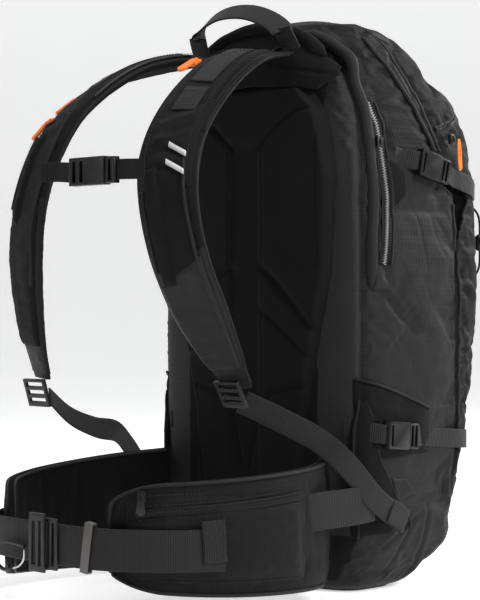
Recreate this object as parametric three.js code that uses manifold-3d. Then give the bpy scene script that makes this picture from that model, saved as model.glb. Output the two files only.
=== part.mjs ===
// Avalanche airbag backpack, about 40 litres, standing on its base.
// Millimetres. +Z is up, -Y faces the wearer's back, +X is the wearer's left.
// The group is shifted so that the origin is the centre of the flat base.
import * as THREE from "three";
import { mergeVertices } from "three/addons/utils/BufferGeometryUtils.js";
import Module from "manifold-3d";

const wasm = await Module();
wasm.setup();

// Driving dimensions.
const WALL = 5; // padded fabric wall of the bag
const SPLIT_Y = 165; // seam between the main bag and the front pocket
const GAP = 0.4; // clearance between neighbouring pieces
const PAD_FACE_Y = -17; // face of the moulded back panel
const STRAP_WIDTH = 66;
const STRAP_CORE = 12; // foam core of a shoulder strap
const STRAP_COVER = 2.4; // zipped fabric cover on its outer face
const WING_THICKNESS = 12;
const HIP_WEBBING = 40; // webbing widths
const HARNESS_WEBBING = 25;
const SIDE_WEBBING = 20;
const WEBBING_THICKNESS = 1.8;
const CABLE_RADIUS = 2;
const SIDES = [
  { name: "left", sign: 1 },
  { name: "right", sign: -1 },
];

// Bag outline by height: z, half width, back, widest y, front, squareness of the back corners.
const BAG = [
  [0, 118, 12, 66, 106, 5],
  [6, 130, 5, 78, 114, 6],
  [20, 138, 0, 98, 130, 6],
  [48, 147, -4, 124, 171, 8],
  [101, 151, -5, 136, 187, 9],
  [191, 155, -5, 146, 212, 9],
  [303, 156, -5, 150, 230, 9],
  [400, 152, -4, 148, 234, 8],
  [471, 145, -2, 146, 227, 6],
  [515, 135, 1, 142, 205, 5],
  [550, 118, 7, 121, 178, 4],
  [575, 97, 13, 102, 167, 3.4],
  [590, 80, 24, 88, 154, 3],
  [600, 66, 34, 80, 130, 3],
  [604, 46, 46, 76, 112, 3],
];
const FRONT_SQUARENESS = 2.8;
const BAG_TOP = BAG[BAG.length - 1][0];
const BASE_CENTRE_Y = (BAG[0][2] + BAG[0][4]) / 2;
// Opening for the back panel: z, half width.
const BACK_OPENING = [
  [64, 96],
  [110, 108],
  [300, 124],
  [430, 126],
  [500, 110],
  [532, 84],
  [546, 50],
];
// Raised pads on the back panel: z, half width.
const PADS = [
  [84, 74],
  [100, 79],
  [180, 83],
  [270, 101],
  [330, 115],
  [430, 119],
  [496, 104],
  [524, 80],
];

// Centre lines of the shoulder straps, from the yoke to the ladder lock.
const STRAP_PATH = {
  left: [
    [48, -16, 560],
    [46, -72, 550],
    [52, -128, 514],
    [66, -181, 458],
    [83, -204, 405],
    [88, -196, 350],
    [90, -170, 295],
    [90, -136, 245],
    [88, -112, 216],
  ],
  right: [
    [-50, -21, 560],
    [-62, -60, 556],
    [-72, -114, 541],
    [-82, -158, 514],
    [-92, -190, 482],
    [-102, -210, 440],
    [-110, -220, 390],
    [-114, -220, 328],
    [-117, -208, 262],
    [-118, -196, 222],
  ],
};
// Lower webbing, from the ladder lock to the corner of the bag.
const LOWER_WEBBING_PATH = {
  left: [
    [90, -109, 201],
    [104, -74, 184],
    [132, -40, 160],
    [155, -28, 139],
    [167, 8, 99],
    [167, 52, 74],
  ],
  right: [
    [-119, -186, 202],
    [-124, -154, 180],
    [-132, -111, 165],
    [-143, -72, 158],
    [-157, -40, 138],
    [-167, -6, 107],
    [-167, 30, 84],
    [-167, 52, 74],
  ],
};
const LADDER_LOCK = {
  left: { at: [87, -126, 216], tilt: 0.5 },
  right: { at: [-118, -206, 214], tilt: 0.3 },
};
// Plan of the hip wings (x, y), from the bag to the tip.
const WING_PLAN = {
  left: [
    [117, -16],
    [146, -66],
    [155, -122],
    [146, -182],
    [116, -234],
    [66, -268],
  ],
  right: [
    [-117, -16],
    [-144, -66],
    [-151, -124],
    [-144, -184],
    [-124, -230],
    [-88, -262],
  ],
};
// Top edge at the root, its drop to the tip, and bottom edge at the root.
const WING_EDGES = { left: [141, 13, 14], right: [139, 24, 9] };
// Centre lines of the hip webbing, from the wing to the buckle.
const HIP_WEBBING_PATH = {
  left: [
    [158, -200, 77],
    [128, -243, 74],
    [74, -280, 69],
    [44, -285, 68],
    [8, -285, 68],
  ],
  right: [
    [-152, -192, 70],
    [-134, -234, 69],
    [-96, -274, 68],
    [-60, -283, 68],
    [-12, -285, 68],
  ],
};
const HIP_WEBBING_Z = 68;
const HAUL_LOOP_PATH = [
  [-65, -22, 584],
  [-62, -22, 594],
  [-50, -21, 604],
  [-28, -20, 611],
  [5, -19, 610],
  [34, -19, 601],
  [54, -20, 590],
  [62, -22, 583],
];
// Compression straps: start of the buckle, height, outer face, and fall per unit length.
const COMPRESSION = {
  upper: { y: 82, z: 448, x: 155, drop: 0.22 },
  lower: { y: 24, z: 165, x: 160, drop: 0.08 },
};
const STERNUM = { y: -232, z: 430 };
const HANDLE = { at: 0.635, recess: 100 };
const FAN = { x: 0, y: 78, z: 448, radius: 44 };

// ---------------------------------------------------------------- tools
function solidOf(geometry) {
  const bare = geometry.clone();
  bare.deleteAttribute("normal");
  bare.deleteAttribute("uv");
  const merged = mergeVertices(bare.index ? bare : mergeVertices(bare, 1e-4), 1e-4);
  return new wasm.Manifold(
    new wasm.Mesh({
      numProp: 3,
      vertProperties: new Float32Array(merged.attributes.position.array),
      triVerts: new Uint32Array(merged.index.array),
    }),
  );
}

function geometryOf(solid) {
  const mesh = solid.getMesh();
  return new THREE.BufferGeometry()
    .setAttribute("position", new THREE.BufferAttribute(mesh.vertProperties, 3))
    .setIndex(new THREE.BufferAttribute(mesh.triVerts, 1));
}

const cut = (body, ...tools) =>
  geometryOf(tools.reduce((rest, tool) => rest.subtract(solidOf(tool)), solidOf(body)));
const join = (first, ...others) =>
  geometryOf(others.reduce((sum, other) => sum.add(solidOf(other)), solidOf(first)));

const box = (x, y, z, at = [0, 0, 0]) => new THREE.BoxGeometry(x, y, z).translate(...at);
const span = (x0, x1, y0, y1, z0, z1) =>
  box(x1 - x0, y1 - y0, z1 - z0, [(x0 + x1) / 2, (y0 + y1) / 2, (z0 + z1) / 2]);
const rodAlongY = (radius, length, at, sides = 24) =>
  new THREE.CylinderGeometry(radius, radius, length, sides).translate(...at);
const rodAlongZ = (radius, length, at, sides = 16) =>
  new THREE.CylinderGeometry(radius, radius, length, sides).rotateX(Math.PI / 2).translate(...at);
const rodAlongX = (radius, length, at, sides = 16) =>
  new THREE.CylinderGeometry(radius, radius, length, sides).rotateZ(Math.PI / 2).translate(...at);

const vector = (p) => new THREE.Vector3(...p);
const curve = (points) => new THREE.CatmullRomCurve3(points.map(vector), false, "centripetal");

// A row of a table at a height between its rows, eased with a Catmull-Rom spline.
function rowAt(table, z) {
  const last = table.length - 1;
  const high = Math.min(last, Math.max(1, table.findIndex((row) => row[0] >= z)));
  const rows = [high - 2, high - 1, high, high + 1].map((i) => table[Math.min(last, Math.max(0, i))]);
  const [p0, p1, p2, p3] = rows;
  const width = p2[0] - p1[0];
  const t = THREE.MathUtils.clamp((z - p1[0]) / width, 0, 1);
  return p1.map((_, k) => {
    const m1 = p2[0] === p0[0] ? 0 : ((p2[k] - p0[k]) / (p2[0] - p0[0])) * width;
    const m2 = p3[0] === p1[0] ? 0 : ((p3[k] - p1[k]) / (p3[0] - p1[0])) * width;
    const t2 = t * t;
    const t3 = t2 * t;
    return (2 * t3 - 3 * t2 + 1) * p1[k] + (t3 - 2 * t2 + t) * m1 + (-2 * t3 + 3 * t2) * p2[k] + (t3 - t2) * m2;
  });
}

const power = (value, exponent) => (Math.abs(value) < 1e-5 ? 0 : Math.sign(value) * Math.abs(value) ** exponent);

// The bag's outline at a height, at an angle round it, taken in by inset.
function bagPoint(z, angle, inset = 0) {
  const [, half, back, middle, front, round] = rowAt(BAG, z);
  const c = Math.cos(angle);
  const s = Math.sin(angle);
  const n = s > 0 ? FRONT_SQUARENESS : round;
  const depth = s > 0 ? front - middle : middle - back;
  return [
    (half - inset) * power(c, 2 / n),
    middle + (depth - inset) * power(s, 2 / n),
  ];
}

// The point off the side of the bag that has a given y on its outline.
function surfaceAt(z, y, off) {
  const steps = 160;
  const spots = Array.from({ length: steps }, (_, k) => bagPoint(z, Math.PI * (k / steps - 0.5), -off));
  return spots.reduce((best, spot) => (Math.abs(spot[1] - y) < Math.abs(best[1] - y) ? spot : best));
}

// The bag as a closed solid: a cylinder whose rings follow the outline.
function bagSolid(inset, bottom, top, rings, around = 44) {
  const geometry = new THREE.CylinderGeometry(1, 1, 1, around, rings).rotateX(Math.PI / 2);
  const position = geometry.attributes.position;
  for (let i = 0; i < position.count; i += 1) {
    const level = position.getZ(i) + 0.5;
    const eased = 0.5 - 0.5 * Math.cos(Math.PI * level);
    const z = bottom + (top - bottom) * (0.45 * level + 0.55 * eased);
    const radius = Math.hypot(position.getX(i), position.getY(i));
    const angle = Math.atan2(position.getY(i), position.getX(i));
    const middle = rowAt(BAG, z)[3];
    const [x, y] = bagPoint(z, angle, inset);
    position.setXYZ(i, x * Math.round(radius), middle + (y - middle) * Math.round(radius), z);
  }
  return geometry;
}

// A plate seen from the back: its outline is a table of z and half width.
function archPlate(table, y0, y1, inset = 0) {
  const right = table.map(([z, half]) => new THREE.Vector2(half - inset, z));
  right[0].y += inset;
  right[right.length - 1].y -= inset;
  const left = right.map((p) => new THREE.Vector2(-p.x, p.y)).reverse();
  const shape = new THREE.Shape([...right, ...left]);
  return new THREE.ExtrudeGeometry(shape, { depth: y1 - y0, bevelEnabled: false })
    .rotateX(Math.PI / 2)
    .translate(0, y1, 0);
}

// Axes on a curve: along it, across the width, and out of the face.
function axesOn(path, t, side) {
  const along = path.getTangent(t);
  const across = vector(side(t)).projectOnPlane(along).normalize();
  return { at: path.getPoint(t), along, across, out: new THREE.Vector3().crossVectors(along, across) };
}

// A band swept along part of a curve. side(t) is the direction of its width, lift(t) raises it
// off the curve, and rounded gives its section soft edges.
function band(path, steps, side, width, thickness, { rounded = 0, lift = () => 0, range = [0, 1] } = {}) {
  const around = rounded ? 12 : 4;
  const geometry = new THREE.CylinderGeometry(1, 1, 1, around, steps);
  const position = geometry.attributes.position;
  for (let i = 0; i < position.count; i += 1) {
    const t = THREE.MathUtils.lerp(...range, 0.5 - position.getY(i));
    const radius = Math.round(Math.hypot(position.getX(i), position.getZ(i)));
    const angle = Math.atan2(position.getZ(i), position.getX(i)) + (rounded ? 0 : Math.PI / 4);
    const { at, across, out } = axesOn(path, t, side);
    const u = rounded ? power(Math.cos(angle), 2 / rounded) : Math.sign(Math.cos(angle));
    const v = rounded ? power(Math.sin(angle), 2 / rounded) : Math.sign(Math.sin(angle));
    at.addScaledVector(across, (radius * u * width(t)) / 2);
    at.addScaledVector(out, lift(t) + (radius * v * thickness(t)) / 2);
    position.setXYZ(i, at.x, at.y, at.z);
  }
  if (solidOf(geometry).volume() < 0) geometry.setIndex([...geometry.index.array].reverse());
  return geometry;
}

const constant = (value) => () => value;
const mix = (a, b) => (t) => a.map((value, k) => value + (b[k] - value) * t);

// A round wire along a curve.
function wire(path, radius, steps, sides = 8) {
  const circle = new THREE.Shape();
  circle.absarc(0, 0, radius, 0, 2 * Math.PI);
  return new THREE.ExtrudeGeometry(circle, { steps, curveSegments: sides, extrudePath: path });
}

function material(colour, roughness, metalness = 0) {
  return new THREE.MeshStandardMaterial({ color: colour, roughness, metalness });
}
const RIPSTOP = material(0x1d1d1e, 0.75);
const BLACK_FABRIC = material(0x121213, 0.9);
const WEBBING = material(0x1b1b1c, 0.85);
const PLASTIC = material(0x151515, 0.45);
const METAL = material(0x2b292a, 0.35, 0.9);
const STEEL = material(0xb8b8bb, 0.3, 1);
const ORANGE = material(0xff7a1e, 0.5);
const SHELL_PLASTIC = material(0x202326, 0.55);
const AIRBAG_NYLON = material(0xd9481c, 0.7);

const pack = new THREE.Group();
pack.position.y = -BASE_CENTRE_Y;

function add(name, geometry, finish, parent = pack) {
  const mesh = new THREE.Mesh(geometry, finish);
  mesh.name = name;
  parent.add(mesh);
  return mesh;
}

function groupAt(x, y, z, rotation = [0, 0, 0], parent = pack) {
  const group = new THREE.Group();
  group.position.set(x, y, z);
  group.rotation.set(...rotation);
  parent.add(group);
  return group;
}

// ---------------------------------------------------------------- bag
function addBag() {
  const outer = solidOf(bagSolid(0, 0, BAG_TOP, 24));
  const inner = solidOf(bagSolid(WALL, WALL, BAG_TOP - 2 * WALL, 18));
  const everywhere = 2000;
  const backHalf = solidOf(span(-400, 400, -everywhere, SPLIT_Y, -50, 900));
  const cavityHalf = solidOf(span(-400, 400, -everywhere, SPLIT_Y - WALL, -50, 900));
  const frontHalf = solidOf(span(-400, 400, SPLIT_Y + GAP, everywhere, -50, 900));
  const backOpening = solidOf(archPlate(BACK_OPENING, -80, 30));
  const cableHole = solidOf(wire(cablePath(), CABLE_RADIUS + 2, 46, 4));
  const main = outer.intersect(backHalf).subtract(inner.intersect(cavityHalf)).subtract(backOpening).subtract(cableHole);
  add("main_shell", geometryOf(main), RIPSTOP);
  add("front_pocket_shell", geometryOf(outer.intersect(frontHalf).subtract(inner)), RIPSTOP);
}

function addBackPanel() {
  const plug = archPlate(BACK_OPENING, 0, 9, GAP);
  const pads = archPlate(PADS, PAD_FACE_Y, 1);
  const channel = span(-24, 24, PAD_FACE_Y - 5, PAD_FACE_Y + 3, 60, 470);
  add("back_panel", cut(join(plug, pads), channel), BLACK_FABRIC);
  add("frame_sheet", archPlate(BACK_OPENING, 9 + GAP, 11 + GAP, 3), SHELL_PLASTIC);
  const stay = curve([
    [-84, 16, 90],
    [-92, 16, 240],
    [-90, 16, 400],
    [-70, 16, 490],
    [0, 16, 516],
    [70, 16, 490],
    [90, 16, 400],
    [92, 16, 240],
    [84, 16, 90],
  ]);
  add("frame_stay", wire(stay, 3, 30, 6), STEEL);
  const yoke = new THREE.Shape([
    new THREE.Vector2(-96, 532),
    new THREE.Vector2(96, 532),
    new THREE.Vector2(84, 554),
    new THREE.Vector2(60, 566),
    new THREE.Vector2(-60, 566),
    new THREE.Vector2(-84, 554),
  ]);
  add(
    "top_yoke",
    new THREE.ExtrudeGeometry(yoke, { depth: 5, bevelEnabled: false }).rotateX(Math.PI / 2).translate(0, -5, 0),
    BLACK_FABRIC,
  );
}

// Triangular fabric fins that carry the lower webbing and the hip belt.
function addFins() {
  SIDES.forEach(({ name, sign }) => {
    const fin = new THREE.Shape([
      new THREE.Vector2(4, 62),
      new THREE.Vector2(62, 60),
      new THREE.Vector2(60, 82),
      new THREE.Vector2(30, 120),
      new THREE.Vector2(12, 196),
      new THREE.Vector2(6, 196),
    ]);
    const plate = new THREE.ExtrudeGeometry(fin, { depth: 3, bevelEnabled: false });
    plate.rotateX(Math.PI / 2).rotateZ(Math.PI / 2);
    plate.translate(sign > 0 ? 157 : -160, 0, 0);
    add(`side_fin_${name}`, plate, RIPSTOP);
  });
}

// ---------------------------------------------------------------- shoulder harness
function strapSide(sign) {
  return (t) => [0.974, sign * 0.225 * Math.min(1, t * 2.5), sign * -0.18 * Math.sin(Math.PI * Math.min(1, t * 2))];
}

function strapWidth(t) {
  const tail = THREE.MathUtils.smoothstep(t, 0.72, 1);
  const root = 1 - THREE.MathUtils.smoothstep(t, 0, 0.16);
  return STRAP_WIDTH - 34 * tail - 16 * root;
}

function strapThickness(t) {
  const ends = Math.min(1, 0.5 + 4 * t, 0.45 + 3 * (1 - t));
  return STRAP_CORE * ends;
}

function addStraps() {
  SIDES.forEach(({ name, sign }) => {
    const path = curve(STRAP_PATH[name]);
    const side = strapSide(sign);
    const core = band(path, 24, side, strapWidth, strapThickness, { rounded: 3 });
    const groove = wire(cablePath(), CABLE_RADIUS + 0.8, 46, 4);
    const recess = placeOn(box(32, 9, HANDLE.recess, [0, 1.5, 0]), path, HANDLE.at, side);
    add(`shoulder_strap_${name}`, sign > 0 ? cut(core, groove, recess) : core, BLACK_FABRIC);
    const lift = (t) => (strapThickness(t) + STRAP_COVER) / 2 + 3 * GAP;
    const coverWidth = (t) => strapWidth(t) - 14;
    const cover = { lift, range: [0.05, 0.9] };
    add(`strap_cover_${name}`, band(path, 20, side, coverWidth, constant(STRAP_COVER), cover), BLACK_FABRIC);
    const lower = curve(LOWER_WEBBING_PATH[name]);
    const across = sign > 0 ? mix([0.6, 0.5, 0.6], [0, 0.6, 0.8]) : mix([-0.72, 0.68, 0.1], [-0.1, 0.75, 0.65]);
    add(
      `strap_webbing_${name}`,
      band(lower, 14, across, constant(HARNESS_WEBBING), constant(WEBBING_THICKNESS)),
      WEBBING,
    );
  });
}

// Ladder lock: a frame with two bars, its sewn bar at the top.
function addLadderLocks() {
  SIDES.forEach(({ name }) => {
    const { at, tilt } = LADDER_LOCK[name];
    const plate = cut(
      box(34, 4, 30, [0, 0, -8]),
      box(26, 8, 4.5, [0, 0, 1.5]),
      box(26, 8, 4.5, [0, 0, -7]),
      box(26, 8, 4, [0, 0, -15.5]),
    );
    add(`ladder_lock_${name}`, plate, PLASTIC, groupAt(...at, [tilt, 0, 0]));
  });
}

// Moves a geometry to a point of a curve: its y is out of the face, its z back along the curve.
function placeOn(geometry, path, t, side) {
  const { at, along, across, out } = axesOn(path, t, side);
  const matrix = new THREE.Matrix4().makeBasis(across.negate(), out, along.negate()).setPosition(at);
  return geometry.applyMatrix4(matrix);
}

// Centre line of the trigger cable: up the strap, through the top of the bag, to the control unit.
function cablePath() {
  const strap = curve(STRAP_PATH.left);
  const side = strapSide(1);
  const onStrap = Array.from({ length: 12 }, (_, k) => {
    const t = THREE.MathUtils.lerp(HANDLE.at - 0.088, 0.03, k / 11);
    const { at, out } = axesOn(strap, t, side);
    return at.addScaledVector(out, strapThickness(t) / 2 - CABLE_RADIUS - 0.3);
  });
  const inside = [
    [47, -9, 569],
    [47, 6, 571],
    [47, 24, 562],
    [50, 30, 530],
    [54, 30, 470],
    [52, 34, 420],
    [50, 38, 397.4],
  ].map(vector);
  return new THREE.CatmullRomCurve3([...onStrap, ...inside], false, "centripetal");
}

function addTrigger() {
  const strap = curve(STRAP_PATH.left);
  const outline = new THREE.Shape();
  outline.moveTo(-13, -23);
  outline.absarc(-7, -19, 6, Math.PI, 1.5 * Math.PI, false);
  outline.absarc(7, -19, 6, 1.5 * Math.PI, 2 * Math.PI, false);
  outline.lineTo(13, 12);
  outline.lineTo(5, 22);
  outline.lineTo(5, 38);
  outline.lineTo(-5, 38);
  outline.lineTo(-5, 22);
  outline.lineTo(-13, 12);
  outline.closePath();
  const grip = new THREE.ExtrudeGeometry(outline, { depth: 5, bevelEnabled: false, curveSegments: 4 })
    .rotateX(Math.PI / 2)
    .translate(0, 2.5, 0);
  add("trigger_handle", placeOn(grip, strap, HANDLE.at, strapSide(1)), ORANGE);
  add("trigger_cable", wire(cablePath(), CABLE_RADIUS, 46, 4), PLASTIC);
}

function addSternumStrap() {
  const { y, z } = STERNUM;
  const socket = cut(
    span(-27, 26, y - 5, y + 5, z - 14, z + 14),
    span(2, 40, y - 3.2, y + 3.2, z - 11.5, z + 11.5),
    span(-22, -17, y - 8, y + 8, z - 10.5, z + 10.5),
    span(-11, -6, y - 8, y + 8, z - 10.5, z + 10.5),
  );
  add("sternum_socket", socket, PLASTIC);
  add("sternum_plug", buckleTongue(y, z), PLASTIC);
  const left = curve([
    [41, y, z],
    [50, y + 2, z],
    [60, y + 8, z],
    [68, y + 11, z],
  ]);
  const right = curve([
    [-28.5, y, z],
    [-40, y + 1, z + 1],
    [-56, y + 2, z + 2],
    [-74, y - 2, z + 2],
  ]);
  const upright = constant([0, 0, 1]);
  add("sternum_webbing_left", band(left, 5, upright, constant(SIDE_WEBBING), constant(WEBBING_THICKNESS)), WEBBING);
  add("sternum_webbing_right", band(right, 5, upright, constant(SIDE_WEBBING), constant(WEBBING_THICKNESS)), WEBBING);
}

// The plug of the sternum buckle: three prongs and a webbing bar.
function buckleTongue(y, z) {
  const body = join(
    span(26.6, 40, y - 4, y + 4, z - 13, z + 13),
    span(6, 27, y - 2.6, y + 2.6, z - 2.5, z + 2.5),
    span(6, 27, y - 2.6, y + 2.6, z + 6.5, z + 10.5),
    span(6, 27, y - 2.6, y + 2.6, z - 10.5, z - 6.5),
  );
  return cut(body, span(31, 35, y - 8, y + 8, z - 10.5, z + 10.5));
}

// ---------------------------------------------------------------- hip belt
function wingSolid(plan, [top, drop, bottom], sign) {
  const path = curve(plan.map(([x, y]) => [x, y, 0]));
  const geometry = new THREE.BoxGeometry(1, 1, 1, 18, 1, 6);
  const position = geometry.attributes.position;
  for (let i = 0; i < position.count; i += 1) {
    const t = position.getX(i) + 0.5;
    const at = path.getPoint(t);
    const along = path.getTangent(t);
    const out = new THREE.Vector3(along.y, -along.x, 0).multiplyScalar(-sign);
    const tip = Math.max(0, (t - 0.8) / 0.2);
    const rounding = 1 - Math.sqrt(Math.max(0, 1 - tip * tip * 0.84));
    const low = bottom + 4 * t + 12 * t * t + 30 * rounding;
    const high = top - drop * t - 34 * rounding;
    const z = THREE.MathUtils.lerp(low, high, position.getZ(i) + 0.5);
    at.addScaledVector(out, position.getY(i) * WING_THICKNESS);
    position.setXYZ(i, at.x, at.y, z);
  }
  return solidOf(geometry).volume() > 0 ? geometry : geometry.setIndex([...geometry.index.array].reverse());
}

function addHipBelt() {
  SIDES.forEach(({ name, sign }) => {
    add(`hip_wing_${name}`, wingSolid(WING_PLAN[name], WING_EDGES[name], sign), BLACK_FABRIC);
    const path = curve(HIP_WEBBING_PATH[name]);
    const upright = constant([0, 0, 1]);
    add(
      `hip_webbing_${name}`,
      band(path, 12, upright, constant(HIP_WEBBING), constant(2.2)),
      WEBBING,
    );
  });
  const z = HIP_WEBBING_Z;
  const frame = cut(
    span(-20, 3, -293, -290, z - 28, z + 29),
    span(-16, -10, -300, -280, z - 21, z + 21),
    span(-5.5, -1.5, -300, -280, z - 22, z + 22),
  );
  add("hip_buckle_frame", frame, METAL);
  const hook = cut(
    span(-1, 18, -289.4, -287, z - 25, z + 25),
    span(2, 6, -300, -280, z - 20.5, z + 20.5),
    span(9.5, 14, -300, -280, z - 20.5, z + 20.5),
  );
  add("hip_buckle_hook", hook, METAL);
  const keeper = cut(
    span(-5, 5, -4, 4, -24.4, 24.4),
    span(-9, 9, -2.1, 2.1, -21.9, 21.9),
  );
  add("webbing_keeper", keeper, METAL, groupAt(58, -283.4, z + 0.6, [0, 0.16, 0.14]));
}

// Leg strap clip: a six-sided wire body and a sprung wire gate.
function addLegClip() {
  const group = groupAt(-52, -290.5, 51);
  const body = curve([
    [22, 0, 12],
    [8, 0, 13.5],
    [-12, 0, 13.5],
    [-19, 0, 10],
    [-19, 0, -10],
    [-8, 0, -14],
    [-1, 0, -11],
  ]);
  add("leg_clip_body", wire(body, 2, 30, 4), METAL, group);
  const gate = curve([
    [22, 0, 8.4],
    [21, 0, -1],
    [14.5, 0, -8],
    [4.5, 0, -11.5],
  ]);
  add("leg_clip_gate", wire(gate, 0.9, 10, 3), STEEL, group);
}

// ---------------------------------------------------------------- top
function addHaulLoop() {
  const path = curve(HAUL_LOOP_PATH);
  const lean = constant([0, 0.75, 0.66]);
  add("haul_loop", band(path, 20, lean, constant(HARNESS_WEBBING), constant(WEBBING_THICKNESS + 0.6)), WEBBING);
}

// ---------------------------------------------------------------- compression straps
function addCompression() {
  SIDES.forEach(({ name, sign }) => {
    Object.entries(COMPRESSION).forEach(([level, { x, y, z, drop }]) => {
      const group = groupAt(sign * (x + 5), y, z, [-drop, 0, 0]);
      const socket = cut(
        box(9, 32, 28, [0, 16, 0]),
        box(5.4, 24, 23, [0, 22, 0]),
        box(12, 3, 21, [0, 5, 0]),
      );
      add(`compression_socket_${level}_${name}`, socket, PLASTIC, group);
      const plug = join(
        box(4.6, 20, 4, [0, 24, 0]),
        box(4.6, 20, 4, [0, 24, 8.6]),
        box(4.6, 20, 4, [0, 24, -8.6]),
        cut(box(8, 15, 26, [0, 40.2, 0]), box(12, 3.4, 21.5, [0, 37.4, 0]), box(12, 3.4, 21.5, [0, 43.4, 0])),
      );
      add(`compression_plug_${level}_${name}`, plug, PLASTIC, group);
      const height = (at) => z - (at - y) * drop;
      const start = y + 48.4;
      const stations = [start, start + 16, 160, 182, 202].filter((at, k) => k < 2 || at > start + 28);
      const path = curve(
        stations.map((at, k) => {
          const [px, py] = k === 0 ? [x + 5, at] : surfaceAt(height(at), at, k < 2 ? 5 : 6.2);
          return [sign * px, py, height(at)];
        }),
      );
      const webbing = band(path, 10, constant([0, 0, 1]), constant(SIDE_WEBBING), constant(WEBBING_THICKNESS));
      add(`compression_webbing_${level}_${name}`, webbing, WEBBING);
    });
  });
}

// ---------------------------------------------------------------- zip sliders
// A slider with its loop of cord: the body rides on the teeth and the pull hangs from it.
function sliderBody() {
  return join(box(8, 4, 11), box(3, 3, 7, [0, -3, 0]));
}

function pullTab(length) {
  const shape = new THREE.Shape();
  shape.absarc(0, 0, 3, 0, Math.PI, false);
  shape.lineTo(-4.5, -length + 5);
  shape.absarc(0, -length + 5, 4.5, Math.PI, 2 * Math.PI, false);
  shape.closePath();
  return new THREE.ExtrudeGeometry(shape, { depth: 3, bevelEnabled: false, curveSegments: 6 })
    .rotateX(Math.PI / 2)
    .translate(0, 1.5, 0);
}

function addSliders() {
  add("back_zip_slider", sliderBody(), METAL, groupAt(145.4, 36.2, 466.5, [0, 0, 1.33]));
  const front = groupAt(149, 150, 476, [0, -0.06, 1.75]);
  add("front_zip_slider", sliderBody(), STEEL, front);
  add("front_zip_pull", pullTab(32).translate(0, -8.8, -3.6), ORANGE, front);
  const onStraps = [
    ["strap_zip_slider_left", "left", 0.165, 38],
    ["strap_zip_slider_right_upper", "right", 0.335, 38],
    ["strap_zip_slider_right_lower", "right", 0.43, 38],
  ];
  onStraps.forEach(([name, strap, t, across]) => {
    const piece = join(sliderBody(), pullTab(24).translate(0, -4, -4)).scale(1, -1, 1);
    const turned = geometryOf(solidOf(piece.setIndex([...piece.index.array].reverse())));
    turned.translate(across, 3, 0);
    const sign = strap === "left" ? 1 : -1;
    add(name, placeOn(turned, curve(STRAP_PATH[strap]), t, strapSide(sign)), ORANGE);
  });
  const hip = groupAt(104, -257, 118, [0, 0, 0.62]);
  add("hip_pocket_slider", join(sliderBody(), pullTab(18).translate(0, -4, 0)), PLASTIC, hip);
  const lock = cut(new THREE.CapsuleGeometry(6, 7, 3, 12).rotateX(Math.PI / 2), rodAlongX(2, 30, [0, 0, 2], 10));
  add("tool_cord_lock", lock, PLASTIC, groupAt(141, 209.4, 366, [0, 0, -Math.PI / 4]));
}

// ---------------------------------------------------------------- airbag system
function addAirbagSystem() {
  const { x, y, z, radius } = FAN;
  const depth = 30;
  const housing = cut(
    join(rodAlongY(radius, depth, [x, y, z], 28), span(x + 8, x + radius, y - depth / 2, y + depth / 2, z, z + 66)),
    rodAlongY(radius - 3, depth - 6, [x, y, z], 28),
    rodAlongY(20, depth, [x, y + 10, z], 20),
    span(x + 12, x + radius - 4, y - depth / 2 + 4, y + depth / 2 - 4, z + 10, z + 80),
    rodAlongY(5, depth, [x, y - 12, z], 12),
  );
  add("fan_housing", housing, SHELL_PLASTIC);
  const hub = join(
    rodAlongY(35, 2, [x, y - 9, z], 24),
    rodAlongY(9, 19, [x, y - 0.5, z], 16),
    rodAlongY(2.5, 21, [x, y - 16.5, z], 10),
  );
  const blades = Array.from({ length: 9 }, (_, k) =>
    box(22, 14, 1.6, [22, 0, 0])
      .rotateY(0.45)
      .translate(4, 0, 0)
      .rotateY((k * 2 * Math.PI) / 9)
      .translate(x, y - 2, z),
  );
  add("impeller", join(hub, ...blades), STEEL);
  add("fan_motor", cut(rodAlongY(17, 26, [x, y - depth / 2 - 14, z], 20), rodAlongY(3, 20, [x, y - 18, z], 10)), STEEL);
  const cells = [-1, 1].map((side) => rodAlongZ(17, 66, [side * 20, 66, 350], 18));
  add("capacitor_pack", join(...cells, box(20, 8, 40, [0, 66, 350])), METAL);
  add("control_unit", cut(span(-58, 58, 30, 46, 306, 396), span(30, 44, 40, 50, 330, 344)), SHELL_PLASTIC);
  add("power_switch", join(rodAlongY(5.5, 6, [37, 46, 337], 14), box(3, 4, 9, [37, 50, 337])), ORANGE);
  add(
    "airbag",
    new THREE.CapsuleGeometry(26, 96, 4, 16).rotateZ(Math.PI / 2).scale(1, 1.5, 0.9).translate(0, 88, 550),
    AIRBAG_NYLON,
  );
}

addBag();
addBackPanel();
addFins();
addStraps();
addLadderLocks();
addTrigger();
addSternumStrap();
addHipBelt();
addLegClip();
addHaulLoop();
addCompression();
addSliders();
addAirbagSystem();

export default pack;
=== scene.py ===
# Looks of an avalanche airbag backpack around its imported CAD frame.
# Shapes are worked out in millimetres in the pack's own axes (+Z up, -Y to the wearer's back,
# +X the wearer's left) and turned into metres in the row frame when a mesh is made.
import math

import bmesh
import bpy
import numpy as np
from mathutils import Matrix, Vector
from mathutils.bvhtree import BVHTree


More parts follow.
